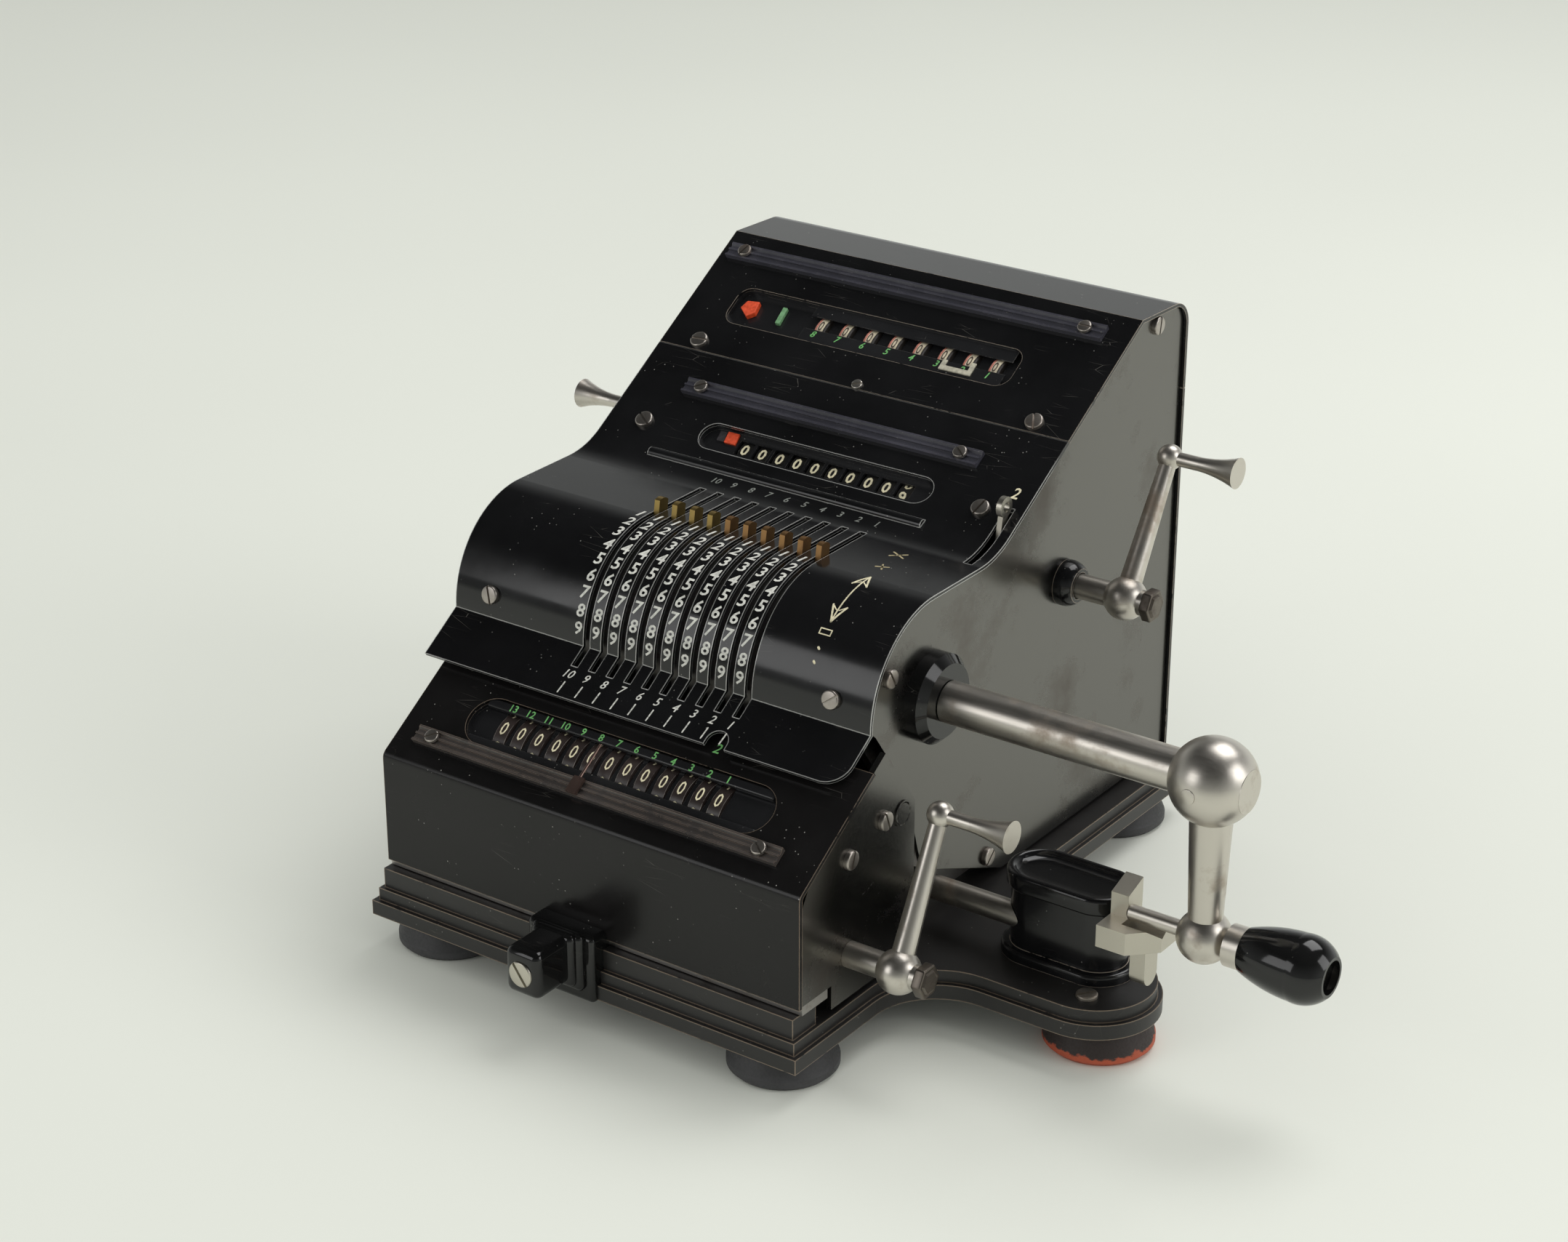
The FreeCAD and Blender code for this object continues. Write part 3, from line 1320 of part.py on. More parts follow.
def build_clearing_cranks():
    """Three small nickel cranks: setting on the left, counter and result on the right."""
    inner = d.frame_half_width - d.frame_gauge
    piece("counter_clearing_crank", clearing_crank(
        "counter_clearing_crank", 1, "counter_clear_y", "counter_clear_z", "counter_clear_tip_y",
        "counter_clear_tip_z", "counter_clear_ball_x", "counter_clear_handle_x", inner,
    ))
    piece("setting_clearing_crank", clearing_crank(
        "setting_clearing_crank", -1, "setting_clear_y", "setting_clear_z", "setting_clear_tip_y",
        "setting_clear_tip_z", "setting_clear_ball_x", "setting_clear_handle_x", inner,
    ))
    piece("result_clearing_crank", clearing_crank(
        "result_clearing_crank", 1, "result_clear_y", "result_clear_z", "result_clear_tip_y",
        "result_clear_tip_z", "result_clear_ball_x", "result_clear_handle_x", d.carriage_left_x,
    ))


CARRIAGE_LEAN = FreeCAD.Rotation(V(1, 0, 0), d.carriage_slope_angle)


def carriage_z(y):
    """Height of the carriage's outer top face."""
    return d.carriage_bend_z + (y - d.carriage_front_y) * carriage_rise


def in_carriage(y, fall):
    """Side-view point below the carriage's outer top face, straight in from the face."""
    return (y + fall * carriage_sin, carriage_z(y) - fall * carriage_cos)


def transfer_axis():
    """Where the transfer gears mesh with the result wheels and reach the drum's pins."""
    across = d.drum_y - RESULT_AXIS[0]
    up = d.drum_z - RESULT_AXIS[1]
    span = drum_to_result
    along = (transfer_to_result ** 2 - transfer_to_drum ** 2 + span ** 2) / (2 * span)
    down = math.sqrt(transfer_to_result ** 2 - along ** 2)
    return (
        RESULT_AXIS[0] + (along * across + down * up) / span,
        RESULT_AXIS[1] + (along * up - down * across) / span,
    )


TRANSFER_AXIS = transfer_axis()


def build_carriage():
    """The carriage: one bent sheet over two end plates, its slide bar, rail, tray and axles."""
    left = "carriage_left_x"
    width = "carriage_right_x - carriage_left_x"
    turn = math.radians((90 - d.carriage_slope_angle) / 2)
    tangent = d.carriage_bend_radius * math.tan(turn)
    bend_centre_y = d.carriage_front_y + d.carriage_bend_radius
    bend_centre_z = d.carriage_bend_z - tangent
    middle = 180 - math.degrees(turn)
    path = [
        (d.carriage_front_y, d.carriage_foot_z),
        (d.carriage_front_y, bend_centre_z),
        (
            d.carriage_front_y + tangent * carriage_cos,
            d.carriage_bend_z + tangent * carriage_sin,
            arc_middle((bend_centre_y, bend_centre_z), d.carriage_bend_radius, middle),
        ),
        (d.carriage_top_end_y, carriage_z(d.carriage_top_end_y)),
    ]
    sheet_run = bent_sheet("carriage_sheet", path, "carriage_gauge", left, width)
    window = (
        d.result_window_left_x, d.result_window_right_x, d.result_window_breadth,
        d.result_window_breadth / 2,
    )
    reach = 2 * d.carriage_gauge
    spot = (d.result_line_y, carriage_z(d.result_line_y))
    opening = inward_block("result_window", tablet(*window), -reach, reach, *spot, CARRIAGE_LEAN)
    piece("carriage_shell", cut("carriage_shell", sheet_run, [opening]))
    wheel_x = [d.first_column_x + d.column_pitch * (1 - k) for k in range(int(d.result_columns))]
    chord = wheel_chord(d.result_wheel_radius, d.result_depth, d.result_floor_depth)
    piece("result_window_pan", window_pan(
        "result_window_pan", window, (wheel_x, d.result_wheel_width, chord), d.carriage_gauge,
        d.result_floor_depth, *spot, CARRIAGE_LEAN,
    ))
    inner_y = d.carriage_front_y + d.carriage_gauge
    inner_corner = in_carriage(d.carriage_front_y, d.carriage_gauge)
    bend_in = (inner_y, inner_corner[1] - carriage_rise * (inner_corner[0] - inner_y))
    roof_in = in_carriage(d.carriage_top_end_y, d.carriage_gauge)
    peak_step = in_carriage(d.carriage_top_end_y, 0)
    bar_top = d.carriage_foot_z + d.slide_bar_lap
    outline = [
        (inner_y, bar_top),
        (inner_y, bend_in[1] - d.carriage_bend_radius),
        (inner_y + d.carriage_bend_radius, bend_in[1] + d.carriage_bend_radius * carriage_rise),
        (roof_in[0] + d.seam_gap, roof_in[1] + d.seam_gap * carriage_rise),
        (peak_step[0] + d.seam_gap, peak_step[1] + d.seam_gap * carriage_rise),
        (d.end_plate_peak_y, carriage_z(d.end_plate_peak_y)),
        (d.end_plate_back_y, d.end_plate_shoulder_z),
        (d.end_plate_back_y, d.end_plate_foot_z),
        (d.end_plate_notch_y, d.end_plate_foot_z),
        (d.end_plate_notch_y, bar_top),
    ]
    holes = [
        (RESULT_AXIS[0], RESULT_AXIS[1], d.carriage_axle_radius),
        (TRANSFER_AXIS[0], TRANSFER_AXIS[1], d.carriage_axle_radius),
        (d.result_clear_y, d.result_clear_z, d.clear_shaft_radius + d.bearing_gap),
    ]
    ends = [
        padded("left_end_plate", "YZ_Plane", outline, "end_plate_gauge", left, holes=holes),
        padded(
            "right_end_plate", "YZ_Plane", outline, "end_plate_gauge", "carriage_right_x - end_plate_gauge",
            holes=holes,
        ),
    ]
    piece("carriage_end_plates", group("carriage_end_plates", ends))
    piece("carriage_slide_bar", box(
        "carriage_slide_bar", width, "slide_bar_depth",
        "carriage_foot_z + slide_bar_lap - rail_top_z - side_gap", left, "carriage_front_y + carriage_gauge",
        "rail_top_z + side_gap",
    ))
    axles = []
    for name, axis in (("result_axle", RESULT_AXIS), ("transfer_axle", TRANSFER_AXIS)):
        axles.append(cylinder(name, "carriage_axle_radius", width, left, *axis, ALONG_X))
    piece("carriage_axles", group("carriage_axles", axles))
    rail_y = d.carriage_rail_y
    piece("carriage_decimal_rail", ribbed_strip(
        "carriage_decimal_rail", "carriage_rail_left_x", "carriage_rail_right_x", rail_y, carriage_z(rail_y),
        CARRIAGE_LEAN,
    ))
    top = raised(rail_y, carriage_z(rail_y), d.rail_strip_height, d.carriage_slope_angle)
    heads = []
    for side, x in (
        ("left", "carriage_rail_left_x + rail_screw_inset"),
        ("right", "carriage_rail_right_x - rail_screw_inset"),
    ):
        heads.append(screw_head(
            f"carriage_rail_{side}_screw", "rail_screw_radius", "rail_screw_height", x, *top, CARRIAGE_LEAN,
        ))
    for name, axis in (("result", RESULT_AXIS), ("transfer", TRANSFER_AXIS)):
        for side, x in (("right", "carriage_right_x"), ("left", "carriage_left_x - cover_screw_height")):
            heads.append(cylinder(
                f"{name}_axle_{side}_screw", "cover_screw_radius", "cover_screw_height", x, *axis, ALONG_X,
            ))
    piece("carriage_screws", group("carriage_screws", heads))


def toothed(teeth, pitch_radius, phase):
    """A gear's face: narrow straight-sided teeth on a round root, turned by phase degrees."""
    tip = pitch_radius + d.tooth_rise
    root = pitch_radius - d.tooth_dip
    points = []
    for tooth in range(int(teeth)):
        angle = math.radians(phase + tooth * 360 / teeth)
        across = (math.cos(angle), math.sin(angle))
        side = (-across[1], across[0])
        for radius, half in (
            (root, -d.tooth_root_width / 2),
            (tip, -d.tooth_tip_width / 2),
            (tip, d.tooth_tip_width / 2),
            (root, d.tooth_root_width / 2),
        ):
            points.append(V(0, across[0] * radius + side[0] * half, across[1] * radius + side[1] * half))
    return Part.Face(Part.makePolygon(points + [points[0]]))


def build_result_wheels():
    """The result's number wheels with their ten-tooth gears, and the transfer gears behind them."""
    result_y, result_z = RESULT_AXIS
    transfer_y, transfer_z = TRANSFER_AXIS
    line = math.degrees(math.atan2(transfer_z - result_z, transfer_y - result_y))
    run = V(1, 0, 0)
    gear_left = -d.gear_offset - d.gear_width / 2
    bore = d.carriage_axle_radius + d.bearing_gap
    gap_phase = line + 180 / d.result_gear_teeth
    gear = toothed(d.result_gear_teeth, d.gear_pitch_radius, gap_phase).extrude(V(d.gear_width, 0, 0))
    gear.translate(V(gear_left, 0, 0))
    drum_left = -d.result_wheel_width / 2
    drum = Part.makeCylinder(d.result_wheel_radius, d.result_wheel_width, V(drum_left, 0, 0), run)
    hub_left = gear_left + d.gear_width
    hub = Part.makeCylinder(bore + d.hub_wall, drum_left - hub_left, V(hub_left, 0, 0), run)
    hole = Part.makeCylinder(bore, 2 * d.column_pitch, V(-d.column_pitch, 0, 0), run)
    wheel = gear.fuse([drum, hub]).cut(hole)
    transfer = toothed(d.transfer_gear_teeth, transfer_pitch, line + 180).extrude(V(d.gear_width, 0, 0))
    transfer.translate(V(gear_left, 0, 0))
    transfer = transfer.cut(hole)
    wheels = []
    gears = []
    for column in range(int(d.result_columns)):
        x = d.first_column_x + d.column_pitch * (1 - column)
        wheels.append(wheel.translated(V(x, result_y, result_z)))
        gears.append(transfer.translated(V(x, transfer_y, transfer_z)))
    piece("result_wheels", shaped("result_wheels", Part.makeCompound(wheels)))
    piece("transfer_gears", shaped("transfer_gears", Part.makeCompound(gears)))


def build_pointer():
    """A small clip that slides on the carriage's rail, with a wire that points between two digits."""
    lift = d.rail_strip_height + d.side_gap
    spot = raised(d.carriage_rail_y, carriage_z(d.carriage_rail_y), lift, d.carriage_slope_angle)
    half = d.pointer_width / 2
    breadth = d.rail_strip_breadth / 2
    wire = d.pointer_wire_radius
    clip = Part.makeBox(d.pointer_width, 2 * breadth, d.pointer_gauge, V(-half, -breadth, 0))
    stem = Part.makeCylinder(wire, d.pointer_reach, V(0, breadth - wire, wire), V(0, 1, 0))
    pointer = clip.fuse(stem)
    feature = shaped("decimal_pointer", pointer)
    feature.Placement = FreeCAD.Placement(V(d.pointer_x, spot[0], spot[1]), CARRIAGE_LEAN)
    piece("decimal_pointer", feature)


def build_selector():
    """A flat nickel lever on the frame's stud, with a ring at its tip above the cover."""
    across = d.selector_tip_y - d.selector_pivot_y
    up = d.selector_tip_z - d.selector_pivot_z
    reach = math.hypot(across, up)
    run = V(1, 0, 0)
    gauge = d.selector_gauge
    eye = Part.makeCylinder(2 * d.selector_pivot_radius, gauge, V(), run)
    stem = Part.makeBox(gauge, d.selector_stem_breadth, reach, V(0, -d.selector_stem_breadth / 2, 0))
    loop = Part.makeCylinder(d.selector_loop_radius, gauge, V(0, 0, reach), run)
    hole = Part.makeCylinder(d.selector_pivot_radius + d.bearing_gap, gauge, V(), run)
    ring_hole = Part.makeCylinder(d.selector_loop_radius / 2, gauge, V(0, 0, reach), run)
    lever = eye.fuse([stem, loop]).cut(Part.makeCompound([hole, ring_hole]))
    feature = shaped("selector_lever", lever)
    lean = FreeCAD.Rotation(V(0, 0, 1), V(0, across, up))
    feature.Placement = FreeCAD.Placement(V(d.selector_x, d.selector_pivot_y, d.selector_pivot_z), lean)
    piece("selector_lever", feature)


def build_shift_handle():
    """The black handle at the front that shifts the carriage: a bar, an arched flange and a key."""
    face_on = FreeCAD.Rotation(V(1, 0, 0), 90)
    half = d.shift_flange_half_width
    crown = d.shift_flange_foot_z + d.shift_arch_rise
    flange_outline = [
        (-half, d.shift_flange_foot_z),
        (half, d.shift_flange_foot_z),
        (half, crown),
        (-half, crown, (0, crown + half)),
    ]
    flange = padded(
        "shift_flange", "XY_Plane", flange_outline, "shift_flange_gauge", "shift_x",
        "shift_flange_face_y + shift_flange_gauge", turn=face_on,
    )
    side = d.shift_bar_half_width
    tall = d.shift_bar_half_height
    flat = tall - d.shift_bar_crown
    bar_outline = [
        (-side, -flat),
        (side, -flat, (0, -tall)),
        (side, flat),
        (-side, flat, (0, tall)),
    ]
    bar = padded(
        "shift_bar", "XY_Plane", bar_outline, "shift_flange_face_y - shift_bar_end_y", "shift_x",
        "shift_flange_face_y", "shift_z", turn=face_on,
    )
    floor = "foot_height + slab_step + side_gap"
    key = box(
        "shift_key", "2 * shift_key_half_width", "shift_key_depth + side_gap",
        f"rail_top_z - side_gap - ({floor})", "shift_x - shift_key_half_width",
        "shift_flange_face_y + shift_flange_gauge", floor,
    )
    piece("shift_handle", fuse("shift_handle", [flange, bar, key]))


def check_and_write():
    """Stops on any failed object or broken solid, then writes one file for each piece."""
    doc.recompute()
    for thing in doc.Objects:
        for word in ("Invalid", "Error"):
            if word in thing.State:
                raise RuntimeError(f"{thing.Name} failed: {thing.State}")
    os.makedirs("parts", exist_ok=True)
    for thing in PIECES:
        shape = thing.Shape.translated(V(-d.origin_x, -d.origin_y, 0))
        if shape.isNull() or not shape.isValid() or not shape.Solids:
            raise RuntimeError(f"{thing.Label} has no sound solid")
        shape.exportStep(f"parts/{thing.Label}.step")
        print(thing.Label, len(shape.Solids), round(shape.Volume, 1))


build_base()
build_feet()
build_pedestal()
build_frame()
build_panels()
build_covers()
build_registers()
build_cover_trim()
build_drum()
build_crank()
build_clearing_cranks()
build_carriage()
build_result_wheels()
build_pointer()
build_selector()
build_shift_handle()
check_and_write()
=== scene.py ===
import math

import bpy
from mathutils import Matrix, Vector


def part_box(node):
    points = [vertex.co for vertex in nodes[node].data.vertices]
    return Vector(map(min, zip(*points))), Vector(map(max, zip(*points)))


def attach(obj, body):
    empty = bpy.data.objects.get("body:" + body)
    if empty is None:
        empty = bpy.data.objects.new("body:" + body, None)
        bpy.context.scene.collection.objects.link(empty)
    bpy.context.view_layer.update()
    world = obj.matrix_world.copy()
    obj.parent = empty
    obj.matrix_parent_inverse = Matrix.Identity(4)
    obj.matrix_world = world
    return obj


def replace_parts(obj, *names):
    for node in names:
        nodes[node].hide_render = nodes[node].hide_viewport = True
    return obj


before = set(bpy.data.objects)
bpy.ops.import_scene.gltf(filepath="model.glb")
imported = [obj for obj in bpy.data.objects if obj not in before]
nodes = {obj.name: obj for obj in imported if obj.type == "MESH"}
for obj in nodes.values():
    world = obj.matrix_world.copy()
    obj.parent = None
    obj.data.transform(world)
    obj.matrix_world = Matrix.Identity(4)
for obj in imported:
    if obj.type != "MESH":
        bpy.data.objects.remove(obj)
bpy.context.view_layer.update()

# The place that everything is measured from: on the table, below the middle of the covers' width
# and the base's depth. Places are given in millimetres from there.

covers_low, covers_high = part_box("rear_cover")
base_low, base_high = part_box("base_plate")
middle = Vector(((covers_low.x + covers_high.x) / 2, (base_low.y + base_high.y) / 2, 0))
MM = 0.001


def place(x, y, z):
    """A point given in millimetres from the middle, as a point of the scene."""
    return middle + Vector((x, y, z)) * MM


# The camera stands in front of the machine's right corner and above it, as in the photograph, with a
# lens half as long again as a normal one.

camera_data = bpy.data.cameras.new("camera")
camera_data.sensor_width = 36
camera_data.lens = 75.84
camera_data.clip_end = 20
camera = bpy.data.objects.new("camera", camera_data)
bpy.context.scene.collection.objects.link(camera)
camera_turn = math.radians(35.663)
camera_rise = math.radians(24.331)
looking_back = Vector((
    math.sin(camera_turn) * math.cos(camera_rise),
    -math.cos(camera_turn) * math.cos(camera_rise),
    math.sin(camera_rise),
))
camera.location = place(573.9, -799.3, 537.4)
camera.rotation_mode = "QUATERNION"
camera.rotation_quaternion = (-looking_back).to_track_quat("-Z", "Y")
bpy.context.scene.camera = camera
bpy.context.scene.view_settings.view_transform = "Standard"

# The table is a seamless sheet of pale paper, flat under the machine and all around it. It is so pale
# that from the camera it runs into the background, and it keeps the machine's soft shadow.

paper_colour = (0.755, 0.765, 0.70)
far_colour = (0.755, 0.765, 0.715, 1)


def deselect():
    """Leaves nothing selected, because operators act on all that is."""
    if bpy.context.object and bpy.context.object.mode != "OBJECT":
        bpy.ops.object.mode_set(mode="OBJECT")
    bpy.ops.object.select_all(action="DESELECT")


def add_node(tree, kind, settings=(), **inputs):
    """A node with its settings. Inputs go by name, or as i3 for the input numbered 3."""
    step = tree.nodes.new(kind)
    for key, value in dict(settings).items():
        setattr(step, key, value)
    for key, value in inputs.items():
        numbered = key[0] == "i" and key[1:].isdigit()
        socket = step.inputs[int(key[1:]) if numbered else key.replace("_", " ")]
        if isinstance(value, bpy.types.NodeSocket):
            tree.links.new(value, socket)
        else:
            socket.default_value = value
    return step


class Finish:
    """A material being made. Most methods add one node and give back what comes out of it.

    The patterns follow where, the spot on the piece in the piece's own space.
    """

    def __init__(self, name):
        self.material = bpy.data.materials.new(name)
        self.material.use_nodes = True
        self.tree = self.material.node_tree
        self.shader = self.tree.nodes["Principled BSDF"]
        self.where = self.add("ShaderNodeTexCoord").outputs["Object"]

    def add(self, kind, settings=(), **inputs):
        """Any other node, as a whole."""
        return add_node(self.tree, kind, settings, **inputs)

    def noise(self, scale, detail, **others):
        """Cloudy noise over the piece."""
        inputs = {"Vector": self.where, "Scale": scale, "Detail": detail, **others}
        return self.add("ShaderNodeTexNoise", **inputs).outputs["Fac"]

    def span(self, value, low, high, new_low, new_high):
        """A value carried over from one range to another, and kept inside it."""
        inputs = {"i0": value, "i1": low, "i2": high, "i3": new_low, "i4": new_high}
        return self.add("ShaderNodeMapRange", **inputs).outputs[0]

    def combined(self, operation, *values):
        """Two or three values worked into one, as by ADD or MULTIPLY."""
        inputs = {f"i{number}": value for number, value in enumerate(values)}
        return self.add("ShaderNodeMath", {"operation": operation}, **inputs).outputs[0]

    def scaled(self, colour, factor):
        """A colour made lighter or darker."""
        settings = {"operation": "SCALE"}
        return self.add("ShaderNodeVectorMath", settings, i0=colour, Scale=factor).outputs[0]

    def over(self, share, below, above):
        """One colour laid over another, by its share."""
        settings = {"data_type": "RGBA"}
        return self.add("ShaderNodeMix", settings, i0=share, i6=below, i7=above).outputs[2]

    def link(self, source, target):
        """Feeds one input of the shader."""
        self.tree.links.new(source, self.shader.inputs[target])

    def relief(self, height, strength, depth):
        """Grain in the skin that is too fine to model."""
        bump = self.add("ShaderNodeBump", Height=height, Strength=strength, Distance=depth)
        self.link(bump.outputs[0], "Normal")


deselect()
bpy.ops.mesh.primitive_plane_add(size=6, location=(middle.x, middle.y, 0))
table = bpy.context.object
table.name = "table_paper"
bpy.ops.object.mode_set(mode="EDIT")
bpy.ops.mesh.subdivide(number_cuts=4)
bpy.ops.object.mode_set(mode="OBJECT")
paper = Finish("pale_paper")
mottle = paper.span(paper.noise(1.3, 2.0), 0.3, 0.7, 0.97, 1.03)
paper.link(paper.scaled(paper_colour, mottle), "Base Color")
paper.shader.inputs["Roughness"].default_value = 0.75
table.data.materials.append(paper.material)

# The room that the machine mirrors is pale at the horizon, and dim overhead and to the front, so that
# sloping enamel stays black. Dull surfaces get even light from it, and the camera sees a plain pale
# background. Three large soft boxes stand round the machine.

horizon_glow = 1.05
zenith_glow = 0.04
front_glow = 0.30
room_light = 0.80
world = bpy.data.worlds.new("room")
bpy.context.scene.world = world
world.use_nodes = True
room = world.node_tree
way = add_node(room, "ShaderNodeTexCoord").outputs["Generated"]
split = add_node(room, "ShaderNodeSeparateXYZ", i0=way)
upward = add_node(
    room, "ShaderNodeMapRange",
    i0=split.outputs["Z"], i1=0.12, i2=0.64, i3=horizon_glow, i4=zenith_glow,
)
backward = add_node(
    room, "ShaderNodeMapRange", i0=split.outputs["Y"], i1=-0.7, i2=0.3, i3=front_glow, i4=1.0,
)
mirrored = add_node(
    room, "ShaderNodeMath", {"operation": "MULTIPLY"}, i0=upward.outputs[0], i1=backward.outputs[0],
)
path = add_node(room, "ShaderNodeLightPath")
strength = add_node(
    room, "ShaderNodeMix", {"data_type": "FLOAT"},
    i0=path.outputs["Is Glossy Ray"], i2=room_light, i3=mirrored.outputs[0],
)
surroundings = room.nodes["Background"]
surroundings.inputs["Color"].default_value = (0.80, 0.82, 0.80, 1)
room.links.new(strength.outputs[0], surroundings.inputs["Strength"])
seen = add_node(room, "ShaderNodeBackground", Color=far_colour, Strength=1.0)
choice = add_node(
    room, "ShaderNodeMixShader",
    i0=path.outputs["Is Camera Ray"], i1=surroundings.outputs[0], i2=seen.outputs[0],
)
room.links.new(choice.outputs[0], room.nodes["World Output"].inputs["Surface"])


def soft_lamp(name, spot, aim, size, power):
    """A square soft box at one point, facing another."""
    data = bpy.data.lights.new(name, "AREA")
    data.shape = "SQUARE"
    data.size = size
    data.energy = power
    lamp = bpy.data.objects.new(name, data)
    bpy.context.scene.collection.objects.link(lamp)
    lamp.location = spot
    lamp.rotation_mode = "QUATERNION"
    lamp.rotation_quaternion = (Vector(aim) - Vector(spot)).to_track_quat("-Z", "Y")


aim = place(30, 0, 80)
soft_lamp("overhead_lamp", place(250, 800, 1500), aim, size=1.0, power=11)
soft_lamp("right_lamp", place(1500, 300, 900), aim, size=0.9, power=7)
soft_lamp("front_lamp", place(-700, -1500, 700), aim, size=0.8, power=4)

# The base is a grey iron casting under a thin satin black paint, with two machined steps all round
# that have worn brown and bright along their edges. It carries everything else.


def painted_metal(name, paint, worn_and_highlight, gloss, wear_width=0.5, wear=0.5, scratches=0.5, dust=0.4,
                  haze=0.12, kept_beyond=None):
    """Black paint on metal: a hazy film, fine scratches, dust specks, and edges worn to the metal.

    The wear fades behind the depth kept_beyond, where one is given. Where the edge colour is near
    white, the edges are a painted highlight as well as wear.
    """
    look = Finish(name)
    broad = look.noise(28.0, 5.0, Roughness=0.6)
    rounded = look.add("ShaderNodeBevel", {"samples": 4}, Radius=wear_width * MM).outputs[0]
    flat = look.add("ShaderNodeNewGeometry").outputs["Normal"]
    bend = look.add("ShaderNodeVectorMath", {"operation": "DOT_PRODUCT"}, i0=rounded, i1=flat)
    edge = look.span(bend.outputs["Value"], 0.996, 0.93, 0.0, 1.0)
    patchy = look.noise(140.0, 6.0, Roughness=0.7)
    bare_and_highlit = look.span(patchy, 0.62 - 0.35 * wear, 0.70 - 0.35 * wear, 0.0, 1.0)
    # With a near-white edge colour, this mask also lays a painted highlight along the edges.
    edge_wear_and_highlight = look.combined("MULTIPLY", edge, bare_and_highlit)
    if kept_beyond is not None:
        depth = look.add("ShaderNodeSeparateXYZ", Vector=look.where).outputs["Y"]
        start = middle.y + kept_beyond * MM
        kept = look.span(depth, start, start + 6 * MM, 1.0, 0.15)
        edge_wear_and_highlight = look.combined("MULTIPLY", edge_wear_and_highlight, kept)
    drawn_out = look.add(
        "ShaderNodeMapping", Vector=look.where, Scale=(1.0, 9.0, 7.0), Rotation=(0.5, 0.3, 0.9),
    ).outputs[0]
    scores = look.add(
        "ShaderNodeTexVoronoi", {"feature": "DISTANCE_TO_EDGE"}, Vector=drawn_out, Scale=34.0,
    )
    line = look.span(scores.outputs["Distance"], 0.0, 0.004, 1.0, 0.0)
    few = look.span(look.noise(60.0, 2.0), 0.66 - 0.1 * scratches, 0.72, 0.0, 0.5)
    scratch = look.combined("MULTIPLY", line, few)
    specks = look.add("ShaderNodeTexVoronoi", Vector=look.where, Scale=420.0, Randomness=1.0)
    speck = look.span(specks.outputs["Distance"], 0.10, 0.06, 0.0, dust)
    dusty = look.span(look.noise(85.0, 1.0), 0.52, 0.62, 0.0, 1.0)
    dust_spot = look.combined("MULTIPLY", speck, dusty)
    film = look.scaled(paint, look.span(broad, 0.3, 0.7, 0.75, 1.35))
    scratched_film = look.over(scratch, film, (0.30, 0.28, 0.25, 1))
    dusty_film = look.over(dust_spot, scratched_film, (0.42, 0.41, 0.38, 1))
    look.link(look.over(edge_wear_and_highlight, dusty_film, (*worn_and_highlight, 1)), "Base Color")
    look.link(look.combined("MULTIPLY", edge_wear_and_highlight, 0.55), "Metallic")
    rough = look.span(broad, 0.35, 0.75, gloss, gloss + haze)
    blunt = look.add("ShaderNodeMix", {"data_type": "FLOAT"}, i0=edge_wear_and_highlight, i2=rough, i3=0.38)
    look.link(blunt.outputs[0], "Roughness")
    look.relief(look.noise(900.0, 3.0), 0.05, 0.00004)
    return look.material


def dress(node, material):
    """Gives a carried-over node its finish."""
    nodes[node].data.materials.clear()
    nodes[node].data.materials.append(material)
    for face in nodes[node].data.polygons:
        face.material_index = 0


base_paint = painted_metal(
    "base_paint", (0.013, 0.012, 0.0115), (0.36, 0.28, 0.21), 0.33,
    wear_width=0.55, wear=0.8, scratches=0.8, dust=0.5,
)
dress("base_plate", base_paint)

# The feet are moulded rubber, dull and a little dusty. The one under the lobe is an orange-red
# replacement, with remains of black paint on its upper half.


def rubber(name, colour, stain, stained):
    """Moulded rubber with a mottled, faintly pitted skin, stained most at the top."""
    look = Finish(name)
    broad = look.noise(90.0, 6.0, Roughness=0.65)
    pits = look.noise(1400.0, 2.0)
    height = look.add("ShaderNodeSeparateXYZ", Vector=look.where).outputs["Z"]
    rising = look.span(height, 0.000, 0.0085, -0.30, 0.42)
    cover = look.span(look.combined("ADD", broad, rising), 0.50, 0.56, 0.0, stained)
    skin = look.scaled(colour, look.span(broad, 0.3, 0.7, 0.8, 1.2))
    look.link(look.over(cover, skin, (*stain, 1)), "Base Color")
    look.link(look.span(pits, 0.3, 0.7, 0.5, 0.68), "Roughness")
    look.relief(pits, 0.3, 0.0001)
    return look.material


dress("rubber_feet", rubber("dark_rubber", (0.045, 0.044, 0.047), (0.02, 0.02, 0.02), 0.3))
dress("lobe_foot", rubber("red_rubber", (0.40, 0.075, 0.032), (0.030, 0.020, 0.018), 1.0))

# The covers are bent steel sheet under a deep glossy black enamel, screwed to the frame. The cut
# edges and slots of the front one have worn to bright metal, but not up on its slope; their
# near-white colour is partly a painted highlight. The trays behind the windows are duller.

enamel_black = (0.0055, 0.0055, 0.006)
# The front cover's near-white edge colour is partly bright metal and partly a painted highlight.
slotted_enamel = painted_metal(
    "slotted_enamel", enamel_black, (0.86, 0.85, 0.82), 0.11,
    wear_width=0.45, wear=1.1, scratches=1.0, dust=0.5, kept_beyond=30,
)
cover_enamel = painted_metal(
    "cover_enamel", enamel_black, (0.52, 0.44, 0.36), 0.11,
    wear_width=0.35, wear=0.75, scratches=0.8, dust=0.4,
)
tray_enamel = painted_metal(
    "tray_enamel", (0.011, 0.011, 0.012), (0.14, 0.13, 0.12), 0.20,
    wear_width=0.25, wear=0.4, scratches=0.2, dust=0.5,
)
dress("front_cover", slotted_enamel)
for node in ("upper_cover", "rear_cover"):
    dress(node, cover_enamel)
for node in ("setting_window_pan", "counter_window_pan", "result_window_pan"):
    dress(node, tray_enamel)

